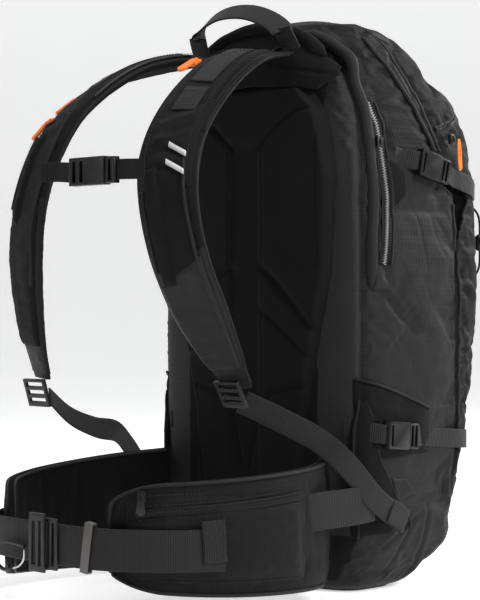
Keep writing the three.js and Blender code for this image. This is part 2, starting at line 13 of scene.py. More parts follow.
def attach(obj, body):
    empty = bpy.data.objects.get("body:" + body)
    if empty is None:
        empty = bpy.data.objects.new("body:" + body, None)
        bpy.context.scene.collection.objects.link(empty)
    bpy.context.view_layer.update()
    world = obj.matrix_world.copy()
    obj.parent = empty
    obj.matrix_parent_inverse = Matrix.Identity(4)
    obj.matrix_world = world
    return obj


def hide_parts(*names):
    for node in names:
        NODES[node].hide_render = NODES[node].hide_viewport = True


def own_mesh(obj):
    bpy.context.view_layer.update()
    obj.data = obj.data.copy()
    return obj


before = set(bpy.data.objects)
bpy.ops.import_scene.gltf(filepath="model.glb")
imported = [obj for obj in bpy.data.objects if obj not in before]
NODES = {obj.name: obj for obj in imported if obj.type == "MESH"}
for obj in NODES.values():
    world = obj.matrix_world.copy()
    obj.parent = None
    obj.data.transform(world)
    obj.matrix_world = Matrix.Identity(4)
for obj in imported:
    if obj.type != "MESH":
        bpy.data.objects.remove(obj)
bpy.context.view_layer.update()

BASE_CENTRE_Y = 59.0
LEFT, RIGHT = 1, -1
SIDE_NAME = {LEFT: "left", RIGHT: "right"}
UP = (0.0, 0.0, 1.0)

# ------------------------------------------------------------------ dimensions shared with the CAD
# Bag outline by height: z, half width, back, widest y, front, squareness of the back corners.
BAG = [
    (0, 118, 12, 66, 106, 5),
    (6, 130, 5, 78, 114, 6),
    (20, 138, 0, 98, 130, 6),
    (48, 147, -4, 124, 171, 8),
    (101, 151, -5, 136, 187, 9),
    (191, 155, -5, 146, 212, 9),
    (303, 156, -5, 150, 230, 9),
    (400, 152, -4, 148, 234, 8),
    (471, 145, -2, 146, 227, 6),
    (515, 135, 1, 142, 205, 5),
    (550, 118, 7, 121, 178, 4),
    (575, 97, 13, 102, 167, 3.4),
    (590, 80, 24, 88, 154, 3),
    (600, 66, 34, 80, 130, 3),
    (604, 46, 46, 76, 112, 3),
]
BAG_TOP = BAG[-1][0]
FRONT_SQUARENESS = 2.8
STRAP = {
    LEFT: [
        (48, -16, 560), (46, -72, 550), (52, -128, 514), (66, -181, 458), (83, -204, 405),
        (88, -196, 350), (90, -170, 295), (90, -136, 245), (88, -112, 216),
    ],
    RIGHT: [
        (-50, -21, 560), (-62, -60, 556), (-72, -114, 541), (-82, -158, 514), (-92, -190, 482),
        (-102, -210, 440), (-110, -220, 390), (-114, -220, 328), (-117, -208, 262), (-118, -196, 222),
    ],
}
LOWER_WEBBING = {
    LEFT: [(90, -109, 201), (104, -74, 184), (132, -40, 160), (155, -28, 139), (167, 8, 99), (167, 52, 74)],
    RIGHT: [
        (-119, -186, 202), (-124, -154, 180), (-132, -111, 165), (-143, -72, 158),
        (-157, -40, 138), (-167, -6, 107), (-167, 30, 84), (-167, 52, 74),
    ],
}
WING = {
    LEFT: [(117, -16), (146, -66), (155, -122), (146, -182), (116, -234), (66, -268)],
    RIGHT: [(-117, -16), (-144, -66), (-151, -124), (-144, -184), (-124, -230), (-88, -262)],
}
WING_EDGES = {LEFT: (141, 13, 14), RIGHT: (139, 24, 9)}
WING_THICKNESS = 12.0
PAD_FACE_Y = -17.0
STRAP_WIDTH = 66
HALF_STRAP = STRAP_WIDTH / 2
STRAP_STEPS = 300  # even spacing along a strap is measured in these
HIP_WEBBING, HARNESS_WEBBING, SIDE_WEBBING = 40, 25, 20
AIRBAG_CENTRE = (0, 88, 550)
VIEW_DIRECTION = (-0.7071, 0.7071, 0)
HIP_WEBBING_PATH = {
    LEFT: [(158, -200), (128, -243), (74, -280), (44, -285), (8, -285)],
    RIGHT: [(-152, -192), (-134, -234), (-96, -274), (-60, -283), (-12, -285)],
}
HIP_Z = 68.0
HAUL_LOOP = [
    (-65, -22, 584), (-62, -22, 594), (-50, -21, 604), (-28, -20, 611), (5, -19, 610),
    (34, -19, 601), (54, -20, 590), (62, -22, 583),
]
COMPRESSION = {"upper": (155, 82, 448, 0.22), "lower": (160, 24, 165, 0.08)}


# ------------------------------------------------------------------ mathematics
def table_at(table, z):
    """Rows of a table at the heights z, eased with the CAD's Catmull-Rom spline."""
    T = np.array(table, float)
    z = np.atleast_1d(np.asarray(z, float))
    last = len(T) - 1
    high = np.clip(np.searchsorted(T[:, 0], z, side="left"), 1, last)
    p0, p1, p2 = T[np.maximum(high - 2, 0)], T[high - 1], T[high]
    p3 = T[np.minimum(high + 1, last)]
    width = (p2[:, :1] - p1[:, :1])
    t = np.clip((z[:, None] - p1[:, :1]) / width, 0, 1)
    d1, d2 = p2[:, :1] - p0[:, :1], p3[:, :1] - p1[:, :1]
    m1 = np.where(high[:, None] - 2 < 0, 0, (p2 - p0) / np.where(d1 == 0, 1, d1) * width)
    m2 = np.where(high[:, None] + 1 > last, 0, (p3 - p1) / np.where(d2 == 0, 1, d2) * width)
    t2, t3 = t * t, t * t * t
    return (2 * t3 - 3 * t2 + 1) * p1 + (t3 - 2 * t2 + t) * m1 + (-2 * t3 + 3 * t2) * p2 + (t3 - t2) * m2


def path_at(points, ts):
    """Points of a centripetal Catmull-Rom curve, with the parameter shared out between its points."""
    P = np.array(points, float)
    ts = np.clip(np.atleast_1d(np.asarray(ts, float)), 0, 1)
    P = np.vstack([2 * P[0] - P[1], P, 2 * P[-1] - P[-2]])
    spans = len(P) - 3
    at = ts * spans
    i = np.minimum(at.astype(int), spans - 1)
    w = (at - i)[:, None]
    p0, p1, p2, p3 = P[i], P[i + 1], P[i + 2], P[i + 3]
    dt = [np.sqrt(np.linalg.norm(b - a, axis=1, keepdims=True)) for a, b in ((p0, p1), (p1, p2), (p2, p3))]
    m1 = ((p1 - p0) / dt[0] - (p2 - p0) / (dt[0] + dt[1]) + (p2 - p1) / dt[1]) * dt[1]
    m2 = ((p2 - p1) / dt[1] - (p3 - p1) / (dt[1] + dt[2]) + (p3 - p2) / dt[2]) * dt[1]
    c2, c3 = -3 * p1 + 3 * p2 - 2 * m1 - m2, 2 * p1 - 2 * p2 + m1 + m2
    return ((c3 * w + c2) * w + m1) * w + p1


def even(points, count):
    """A smooth path through the points, with count points at even spacing."""
    fine = path_at(points, np.linspace(0, 1, 60 * len(points)))
    run = np.concatenate([[0], np.cumsum(np.linalg.norm(np.diff(fine, axis=0), axis=1))])
    want = np.linspace(0, run[-1], count)
    return np.stack([np.interp(want, run, fine[:, k]) for k in range(3)], 1)


def unit(v):
    return v / np.maximum(np.linalg.norm(v, axis=-1, keepdims=True), 1e-9)


def lengths(path):
    return np.concatenate([[0], np.cumsum(np.linalg.norm(np.diff(path, axis=0), axis=1))])


def axes_along(path, across):
    """Unit vectors along the path, across its width and out of its face."""
    along = unit(np.gradient(path, axis=0))
    across = np.broadcast_to(np.asarray(across, float), path.shape)
    across = unit(across - along * np.sum(across * along, axis=1, keepdims=True))
    return along, across, np.cross(along, across)


def smoothstep(low, high, x):
    t = np.clip((x - low) / (high - low), 0, 1)
    return t * t * (3 - 2 * t)


def wobble(points, size, seed, octaves=3):
    """Smooth noise between about -1 and 1, from waves in fixed random directions."""
    rng = np.random.default_rng(seed)
    total = np.zeros(len(points))
    weight = 1.0
    for _ in range(octaves):
        for _ in range(7):
            k = rng.normal(size=3)
            k *= 2 * math.pi / size * rng.uniform(0.6, 1.3) / np.linalg.norm(k)
            total += weight * np.sin(points @ k + rng.uniform(0, 2 * math.pi))
        weight *= 0.5
        size *= 0.5
    return total / 5.0


def line_distance(a, b, line):
    """Distance in a plane from the points (a, b) to a polyline."""
    best = np.full(np.shape(a), 1e9)
    for (a0, b0), (a1, b1) in zip(line[:-1], line[1:]):
        da, db = a1 - a0, b1 - b0
        t = np.clip(((a - a0) * da + (b - b0) * db) / (da * da + db * db), 0, 1)
        best = np.minimum(best, np.hypot(a - a0 - t * da, b - b0 - t * db))
    return best


def inside(a, b, polygon):
    hit = np.zeros(np.shape(a), bool)
    for (a0, b0), (a1, b1) in zip(polygon, polygon[1:] + polygon[:1]):
        if b0 == b1:
            continue
        crosses = ((b0 > b) != (b1 > b)) & (a < (a1 - a0) * (b - b0) / (b1 - b0) + a0)
        hit ^= crosses
    return hit


# ------------------------------------------------------------------ materials
class Nodes:
    """A short way to write a node tree."""

    def __init__(self, name):
        self.material = bpy.data.materials.new(name)
        self.material.use_nodes = True
        self.tree = self.material.node_tree
        self.shader = self.tree.nodes["Principled BSDF"]

    def add(self, kind, *inputs, **settings):
        node = self.tree.nodes.new(kind)
        for key, value in settings.items():
            setattr(node, key, value)
        for index, value in enumerate(inputs):
            if value is not None:
                self.put(node.inputs[index], value)
        return node

    def put(self, socket, value):
        if isinstance(value, bpy.types.NodeSocket):
            self.tree.links.new(value, socket)
        else:
            socket.default_value = value

    def math(self, operation, a, b=None, c=None):
        return self.add("ShaderNodeMath", a, b, c, operation=operation).outputs[0]

    def noise(self, vector, scale, detail=3.0, roughness=0.5):
        node = self.add("ShaderNodeTexNoise")
        self.put(node.inputs["Vector"], vector)
        node.inputs["Scale"].default_value = scale
        node.inputs["Detail"].default_value = detail
        node.inputs["Roughness"].default_value = roughness
        return node.outputs["Fac"]

    def ramp(self, value, stops):
        node = self.add("ShaderNodeValToRGB", value)
        elements = node.color_ramp.elements
        while len(elements) < len(stops):
            elements.new(0.5)
        for element, (position, colour) in zip(elements, stops):
            element.position = position
            element.color = (*colour, 1)
        return node.outputs["Color"]

    def bump(self, height, distance, strength=1.0, normal=None):
        node = self.add("ShaderNodeBump")
        node.inputs["Strength"].default_value = strength
        node.inputs["Distance"].default_value = distance
        self.put(node.inputs["Height"], height)
        if normal is not None:
            self.put(node.inputs["Normal"], normal)
        return node.outputs["Normal"]


def shades(colour, spread):
    dark = tuple(c * (1 - spread) for c in colour)
    light = tuple(min(1, c * (1 + spread)) for c in colour)
    return dark, light


def woven(name, colour, pattern, roughness=0.8, sheen=0.25, spread=0.18, specular=0.3):
    """Fabric. pattern is plain, ripstop, webbing, stretch or mesh, sized from the UVs, in metres."""
    n = Nodes(name)
    place = n.add("ShaderNodeTexCoord")
    uv = n.add("ShaderNodeSeparateXYZ", place.outputs["UV"])
    u, v = uv.outputs[0], uv.outputs[1]
    where = place.outputs["Object"]

    def wave(value, period):
        return n.math("SINE", n.math("MULTIPLY", value, 2 * math.pi / period))

    blotch = n.noise(where, 14.0, 4.0, 0.6)
    fine = n.noise(where, 900.0, 2.0)
    if pattern == "ripstop":
        grid = n.math("MAXIMUM", n.math("POWER", n.math("ABSOLUTE", wave(u, 0.0096)), 24.0),
                      n.math("POWER", n.math("ABSOLUTE", wave(v, 0.0096)), 24.0))
        threads = n.math("MULTIPLY", wave(u, 0.0011), wave(v, 0.0011))
        height = n.math("ADD", n.math("MULTIPLY", grid, 0.8), n.math("MULTIPLY", threads, 0.25))
        depth = 0.00018
    elif pattern == "webbing":
        ribs = wave(v, 0.0022)
        warp = wave(u, 0.0016)
        height = n.math("ADD", n.math("MULTIPLY", ribs, 0.6), n.math("MULTIPLY", n.math("MULTIPLY", ribs,
                warp), 0.4))
        depth = 0.00035
    elif pattern == "mesh":
        holes = n.math("MULTIPLY", wave(n.math("ADD", u, v), 0.0036), wave(n.math("SUBTRACT", u, v),
                0.0036))
        height = n.math("ADD", holes, n.math("MULTIPLY", fine, 0.4))
        depth = 0.0004
    elif pattern == "stretch":
        knit = n.math("MULTIPLY", wave(n.math("ADD", u, v), 0.0016), wave(n.math("SUBTRACT", u, v), 0.0024))
        height = n.math("ADD", n.math("MULTIPLY", knit, 0.5), n.math("MULTIPLY", fine, 0.6))
        depth = 0.00022
    else:
        threads = n.math("MULTIPLY", wave(u, 0.0013), wave(v, 0.0013))
        height = n.math("ADD", n.math("MULTIPLY", threads, 0.5), n.math("MULTIPLY", fine, 0.5))
        depth = 0.0002
    dark, light = shades(colour, spread)
    tone = n.math("ADD", n.math("MULTIPLY", blotch, 0.75), n.math("MULTIPLY", fine, 0.25))
    base = n.ramp(tone, [(0.3, dark), (0.7, light)])
    weave_tone = n.math("MULTIPLY_ADD", height, 0.16, 0.92)
    mixed = n.add("ShaderNodeVectorMath", base, operation="SCALE")
    n.put(mixed.inputs["Scale"], weave_tone)
    n.put(n.shader.inputs["Base Color"], mixed.outputs[0])
    rough = n.math("MULTIPLY_ADD", blotch, 0.16, roughness - 0.08)
    n.put(n.shader.inputs["Roughness"], rough)
    n.shader.inputs["Sheen Weight"].default_value = sheen
    n.shader.inputs["Sheen Roughness"].default_value = 0.45
    n.shader.inputs["Specular IOR Level"].default_value = specular
    creases = n.bump(n.noise(where, 55.0, 3.0, 0.55), 0.0006, 0.55)
    n.put(n.shader.inputs["Normal"], n.bump(height, depth, 0.9, creases))
    return n.material


def hard(name, colour, roughness, metallic=0.0, grain=0.00008, spread=0.12, scratch=True):
    """Moulded plastic or metal, with fine grain, colour variation and rubbed patches."""
    n = Nodes(name)
    where = n.add("ShaderNodeTexCoord").outputs["Object"]
    patch = n.noise(where, 60.0, 5.0, 0.6)
    fine = n.noise(where, 1600.0, 2.0)
    dark, light = shades(colour, spread)
    n.put(n.shader.inputs["Base Color"], n.ramp(patch, [(0.35, dark), (0.7, light)]))
    rubbed = n.math("MULTIPLY_ADD", patch, 0.22 if scratch else 0.1, roughness - 0.09)
    n.put(n.shader.inputs["Roughness"], n.math("MULTIPLY_ADD", fine, 0.06, rubbed))
    n.shader.inputs["Metallic"].default_value = metallic
    n.shader.inputs["Specular IOR Level"].default_value = 0.35
    n.put(n.shader.inputs["Normal"], n.bump(fine, grain, 0.5))
    return n.material


RIPSTOP = woven("ripstop_side", (0.0135, 0.0135, 0.0138), "ripstop", 0.58, 0.03, 0.16, 0.12)
RIPSTOP_LIGHT = woven("ripstop_corner", (0.0185, 0.0185, 0.0188), "ripstop", 0.55, 0.04, 0.16, 0.16)
RIPSTOP_DARK = woven("ripstop_front", (0.0065, 0.0065, 0.0068), "ripstop", 0.6, 0.02, 0.16, 0.1)
BASE_CLOTH = woven("base_cloth", (0.012, 0.012, 0.0123), "plain", 0.55, 0.03, 0.16, 0.14)
STRETCH = woven("back_stretch", (0.006, 0.006, 0.0062), "stretch", 0.75, 0.03, 0.2, 0.09)
STRAP_CLOTH = woven("strap_cloth", (0.0058, 0.0058, 0.006), "stretch", 0.68, 0.03, 0.2, 0.1)
STRAP_SHINE = woven("strap_ripstop", (0.0125, 0.0125, 0.0128), "ripstop", 0.52, 0.04, 0.16, 0.16)
SPACER = woven("spacer_mesh", (0.004, 0.004, 0.004), "mesh", 0.85, 0.02, 0.2, 0.06)
PIPING = woven("piping", (0.011, 0.011, 0.0113), "plain", 0.5, 0.03, 0.14, 0.16)
# Painted shade: the cloth inside the recessed side opening under the upper compression strap is made
# near-black and almost unreflective.
GUSSET_SHADE = woven("gusset", (0.002, 0.002, 0.002), "stretch", 0.95, 0.0, 0.2, 0.03)
WEBBING = woven("webbing", (0.0155, 0.0155, 0.0158), "webbing", 0.55, 0.04, 0.14, 0.18)
WEBBING_DARK = woven("webbing_dark", (0.009, 0.009, 0.0092), "webbing", 0.6, 0.03, 0.14, 0.12)
PATCH = woven("coated_patch", (0.005, 0.005, 0.0052), "plain", 0.45, 0.0, 0.14, 0.16)
BINDING = woven("edge_binding", (0.0085, 0.0085, 0.0088), "plain", 0.55, 0.03, 0.14, 0.15)
THREAD = hard("thread", (0.026, 0.026, 0.027), 0.6)
PLASTIC = hard("acetal", (0.005, 0.005, 0.0053), 0.3)
GUNMETAL = hard("gunmetal", (0.045, 0.043, 0.042), 0.33, 0.85)
KEEPER_METAL = hard("keeper_metal", (0.12, 0.11, 0.105), 0.38, 0.75)
STEEL = hard("bright_steel", (0.62, 0.62, 0.63), 0.25, 1.0)
ORANGE = hard("orange_cord", (1.0, 0.2, 0.03), 0.5, 0.0, 0.0002)
CORD = woven("black_cord", (0.007, 0.007, 0.007), "webbing", 0.8, 0.05, 0.14, 0.2)
REFLECTIVE = hard("reflective_grey", (0.55, 0.56, 0.58), 0.45, 0.1)
TOOTH_LIGHT = hard("tooth_light", (0.3, 0.303, 0.307), 0.35, 0.1)
TOOTH_DARK = hard("tooth_dark", (0.012, 0.012, 0.012), 0.35)
GREY_PLASTIC = hard("grey_plastic", (0.05, 0.055, 0.06), 0.5)
AIRBAG = woven("airbag_nylon", (0.62, 0.11, 0.02), "plain", 0.6)


# ------------------------------------------------------------------ making objects
def make(name, verts, faces, materials, body, replaces=(), uvs=None, index=None, smooth=True):
    """A mesh from points in pack millimetres, with uvs per vertex in metres and a material index per face."""
    verts = np.asarray(verts, float)
    row = (verts - (0, BASE_CENTRE_Y, 0)) / 1000.0
    mesh = bpy.data.meshes.new(name)
    mesh.from_pydata(row.tolist(), [], faces)
    for material in materials if isinstance(materials, (list, tuple)) else [materials]:
        mesh.materials.append(material)
    if index is not None:
        mesh.polygons.foreach_set("material_index", np.asarray(index, np.int32))
    if uvs is not None:
        layer = mesh.uv_layers.new(name="UVMap")
        loops = np.zeros(len(mesh.loops), np.int32)
        mesh.loops.foreach_get("vertex_index", loops)
        layer.data.foreach_set("uv", np.asarray(uvs, np.float32)[loops].ravel())
    mesh.polygons.foreach_set("use_smooth", np.full(len(mesh.polygons), smooth))
    mesh.update()
    obj = bpy.data.objects.new(name, mesh)
    bpy.context.scene.collection.objects.link(obj)
    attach(obj, body)
    if replaces:
        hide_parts(*replaces)
    return obj


def loop_faces(rows, columns, closed=True, caps=True):
    """Quads of a grid whose columns close into a ring, with its two ends capped."""
    faces = []
    last = columns if closed else columns - 1
    for i in range(rows - 1):
        for j in range(last):
            k = (j + 1) % columns
            faces.append((i * columns + j, i * columns + k, (i + 1) * columns + k, (i + 1) * columns + j))
    if caps:
        faces.append(tuple(reversed(range(columns))))
        faces.append(tuple((rows - 1) * columns + j for j in range(columns)))
    return faces


def facing_out(obj):
    bm = bmesh.new()
    bm.from_mesh(obj.data)
    bmesh.ops.recalc_face_normals(bm, faces=bm.faces)
    bm.to_mesh(obj.data)
    bm.free()
    return obj


def swept(name, path, across, section, materials, body, replaces=(), lift=0.0, index=None):
    """A closed band along a path. section(k) gives (width offsets, height offsets) at path point k."""
    path = np.asarray(path, float)
    _, side, out = axes_along(path, across)
    rows, uvs = [], []
    run = lengths(path)
    for k in range(len(path)):
        w, h = section(k)
        w, h = np.asarray(w, float), np.asarray(h, float) + (lift[k] if np.ndim(lift) else lift)
        rows.append(path[k] + w[:, None] * side[k] + h[:, None] * out[k])
        uvs.append(np.stack([w, np.full(len(w), run[k])], 1) / 1000)
    columns = len(rows[0])
    obj = make(name, np.vstack(rows), loop_faces(len(rows), columns), materials, body, replaces,
               np.vstack(uvs), index)
    return facing_out(obj)


def flat_section(width, thickness, edge=3):
    """Section of webbing: flat faces, rounded selvedges, with enough points for its weave."""
    half, t = width / 2, thickness / 2
    turn = np.linspace(-math.pi / 2, math.pi / 2, edge + 2)
    right = np.stack([half - t + t * np.cos(turn), t * np.sin(turn)], 1)
    top = np.stack([np.linspace(half - t, -half + t, 7)[1:-1], np.full(5, t)], 1)
    left = np.stack([-half + t - t * np.cos(turn), -t * np.sin(turn)], 1)
    bottom = np.stack([np.linspace(-half + t, half - t, 7)[1:-1], np.full(5, -t)], 1)
    ring = np.vstack([right, top, left, bottom])
    return ring[:, 0], ring[:, 1]


def webbing(name, points, across, width, thickness, material, body, replaces=(), count=60, lift=0.0):
    path = even(points, count)
    if callable(across):
        across = np.array([across(t) for t in np.linspace(0, 1, count)])
    section = flat_section(width, thickness)
    return swept(name, path, across, lambda k: section, material, body, replaces, lift)


def tube(name, path, radius, material, body, sides=10, replaces=(), closed=False):
    """A round cord or piping along points, with flat caps on its open ends."""
    path = np.asarray(path, float)
    count = len(path)
    along = unit(np.gradient(path, axis=0)) if not closed else unit(np.roll(path, -1, 0) - np.roll(path, 1,
            0))
    helper = np.array(UP) if abs(along[0][2]) < 0.9 else np.array([1.0, 0, 0])
    normal = unit(np.cross(along[0], helper))
    normals = []
    for k in range(count):
        normal = unit(normal - along[k] * np.dot(normal, along[k]))
        normals.append(normal)
    normals = np.array(normals)
    binormal = np.cross(along, normals)
    radii = np.broadcast_to(radius, (count,)).astype(float).copy()
    angle = np.linspace(0, 2 * math.pi, sides, endpoint=False)
    run = lengths(path)
    rows, uvs = [], []
    for k in range(count):
        ring = path[k] + radii[k] * (np.cos(angle)[:, None] * normals[k] + np.sin(angle)[:,
                None] * binormal[k])
        rows.append(ring)
        uvs.append(np.stack([angle * radii[k], np.full(sides, run[k])], 1) / 1000)
    if closed:
        faces = loop_faces(count, sides, caps=False)
        faces += [((count - 1) * sides + j, (count - 1) * sides + (j + 1) % sides, (j + 1) % sides,
                j) for j in range(sides)]
    else:
        faces = loop_faces(count, sides)
    return facing_out(make(name, np.vstack(rows), faces, material, body, replaces, np.vstack(uvs)))


# ------------------------------------------------------------------ the bag's surface
def bag_rows(z):
    rows = table_at(BAG, np.clip(z, 0, BAG[-1][0]))
    return rows[:, 1], rows[:, 2], rows[:, 3], rows[:, 4], rows[:, 5]


def bag_x(y, z):
    """Half width of the bag where its outline passes y, at height z."""
    half, back, mid, front, square = bag_rows(z)
    ahead = y > mid
    depth = np.where(ahead, front - mid, mid - back)
    n = np.where(ahead, FRONT_SQUARENESS, square)
    return half * (1 - np.clip(np.abs(y - mid) / depth, 0, 0.9999) ** n) ** (1 / n)


def bag_front(x, z):
    half, _, mid, front, _ = bag_rows(z)
    return mid + (front - mid) * (1 - np.clip(np.abs(x) / half, 0,
            0.9999) ** FRONT_SQUARENESS) ** (1 / FRONT_SQUARENESS)


def bag_back(x, z):
    half, back, mid, _, square = bag_rows(z)
    return mid - (mid - back) * (1 - np.clip(np.abs(x) / half, 0, 0.9999) ** square) ** (1 / square)


def bag_level(p):
    half, back, mid, front, square = bag_rows(p[:, 2])
    ahead = p[:, 1] > mid
    depth = np.where(ahead, front - mid, mid - back)
    n = np.where(ahead, FRONT_SQUARENESS, square)
    return (np.abs(p[:, 0]) / half) ** n + (np.abs(p[:, 1] - mid) / depth) ** n


def bag_normal(p):
    slope = np.stack([bag_level(p + d) - bag_level(p - d) for d in np.eye(3) * 1.5], 1)
    return unit(slope)


def simulate(points, faces, pins, pressure=4.0, shrink=0.0, cap=8.0, frames=20, mass=0.2, stiffness=8.0):
    """Cloth settled over a form. pins holds 0 (free) to 1 (sewn down) for each point."""
    mesh = bpy.data.meshes.new("cloth_trial")
    mesh.from_pydata((points / 1000).tolist(), [], faces)
    obj = bpy.data.objects.new("cloth_trial", mesh)
    bpy.context.scene.collection.objects.link(obj)
    group = obj.vertex_groups.new(name="sewn")
    for weight in np.unique(np.round(pins, 1)):
        if weight > 0:
            where = np.nonzero(np.round(pins, 1) == weight)[0]
            group.add(where.tolist(), float(weight), "REPLACE")
    cloth = obj.modifiers.new("cloth", "CLOTH")
    settings = cloth.settings
    settings.quality = 6
    settings.mass = mass
    settings.tension_stiffness = settings.compression_stiffness = stiffness
    settings.shear_stiffness = stiffness * 0.6
    settings.bending_stiffness = 0.4
    settings.air_damping = 6.0
    settings.vertex_group_mass = "sewn"
    settings.pin_stiffness = 2.0
    settings.use_pressure = pressure != 0
    settings.uniform_pressure_force = pressure
    settings.shrink_min = shrink
    settings.effector_weights.gravity = 0.0
    cloth.collision_settings.use_collision = False
    cloth.point_cache.frame_start, cloth.point_cache.frame_end = 1, frames
    scene = bpy.context.scene
    for number in range(1, frames + 1):
        scene.frame_set(number)
    moved = obj.evaluated_get(bpy.context.evaluated_depsgraph_get()).to_mesh()
    result = np.zeros(len(points) * 3)
    moved.vertices.foreach_get("co", result)
    scene.frame_set(1)
    bpy.data.objects.remove(obj)
    bpy.data.meshes.remove(mesh)
    shift = result.reshape(-1, 3) * 1000 - points
    size = np.linalg.norm(shift, axis=1, keepdims=True)
    return points + shift * np.minimum(1, cap * np.tanh(size / cap) / np.maximum(size, 1e-9))


# Seams and panels on the bag's sides as (y, z), the same on both sides.
CORNER_SEAM = [(7, 60), (7, 98), (7, 313), (10, 406), (17, 468), (21, 500), (22, 516), (24, 532), (30, 560)]
BACK_ZIP = [(31, 339), (36, 370), (38, 394), (39, 422), (38, 448), (37, 469), (37, 484), (34, 498), (33,
        508)]
FLAP_BACK = [(72, 581), (74, 563), (80, 547), (86, 531), (96, 510), (106, 489), (116, 473), (121, 461)]
FLAP_FRONT = [(93, 592), (97, 574), (95, 556), (99, 540), (104, 523), (114, 495), (131, 461)]
POCKET_SEAM = [(182, 497), (173, 503), (160, 494), (142, 488), (128, 485)]
SIDE_SEAM = [(152, 372), (150, 351), (149, 300), (149, 196), (151, 150), (148, 100)]
PIPED_SEAM = [(153, 353), (154, 300), (154, 196), (156, 140)]
CREASE = [(35, 310), (57, 287), (73, 274)]
GUSSET_EDGE = [(126, 428), (148, 416), (148, 400), (149, 358)]
GUSSET_OPENING = [(126, 428), (148, 416), (149, 400), (150, 358), (156, 374), (169, 395), (180, 412), (160,
        430)]
BASE_SEAMS = [[(83, 72), (50, 21)], [(107, 86), (94, 16)]]
SEAMS = [
    (CORNER_SEAM, 1.6, 2.4), (SIDE_SEAM, 1.6, 2.2), (POCKET_SEAM, 1.2, 2.2), (CREASE, 2.2, 5.0),
    ([(7, 312), (31, 312)], 1.2, 2.0), (BASE_SEAMS[0], 1.3, 2.4), (BASE_SEAMS[1], 1.3, 2.4),
    ([(35, 45), (80, 72), (107, 86), (150, 92)], 1.2, 2.4),
]
# Seams on the front, as (|x|, z).
FRONT_SEAMS = [
    ([(0, 120), (60, 118), (120, 128)], 1.4, 2.4), ([(92, 120), (96, 250), (90, 400), (70, 480)], 1.3, 2.2),
    ([(0, 482), (50, 480), (90, 468)], 1.6, 2.4),
]


def seam_relief(a, b, seams):
    """Depth of the sewn lines and the puckered fabric beside them, in millimetres."""
    height = np.zeros(len(a))
    for line, depth, width in seams:
        d = line_distance(a, b, line)
        height -= depth * np.exp(-((d / width) ** 2))
        height += 0.35 * depth * np.exp(-(((d - 2.6 * width) / (1.4 * width)) ** 2))
    return height


def bag_grid(columns, levels):
    """Rings of even points round the outline at the given heights, from the middle of the back."""
    polar = np.linspace(-math.pi / 2, 1.5 * math.pi, 1441)
    c, s = np.cos(polar), np.sin(polar)
    rings = []
    for z in levels:
        half, back, mid, front, square = (v[0] for v in bag_rows(np.array([z])))
        n = np.where(s > 0, FRONT_SQUARENESS, square)
        depth = np.where(s > 0, front - mid, mid - back)
        r = (np.abs(c / half) ** n + np.abs(s / depth) ** n) ** (-1 / n)
        x, y = r * c, mid + r * s
        run = np.concatenate([[0], np.cumsum(np.hypot(np.diff(x), np.diff(y)))])
        want = np.linspace(0, run[-1], columns, endpoint=False)
        rings.append(np.stack([np.interp(want, run, x), np.interp(want, run, y), np.full(columns, z)], 1))
    return np.array(rings)


def bag_levels(count):
    t = np.linspace(0, 1, count)
    return BAG_TOP * (0.72 * t + 0.28 * (0.5 - 0.5 * np.cos(math.pi * t)))


def resample(field, rows, columns):
    """A smooth periodic-in-columns grid of vectors at a finer spacing."""
    r = np.linspace(0, field.shape[0] - 1, rows)
    c = np.linspace(0, field.shape[1], columns, endpoint=False)
    r0 = np.minimum(r.astype(int), field.shape[0] - 2)
    c0 = c.astype(int)

    def weights(t):
        return np.stack([-t + 2 * t**2 - t**3, 2 - 5 * t**2 + 3 * t**3, t + 4 * t**2 - 3 * t**3,
                -t**2 + t**3]) / 2

    wr, wc = weights(r - r0), weights(c - c0)
    rows_at = [np.clip(r0 + k, 0, field.shape[0] - 1) for k in (-1, 0, 1, 2)]
    half_way = sum(wr[k][:, None, None] * field[rows_at[k]] for k in range(4))
    cols_at = [(c0 + k) % field.shape[1] for k in (-1, 0, 1, 2)]
    return sum(wc[k][None, :, None] * half_way[:, cols_at[k]] for k in range(4))


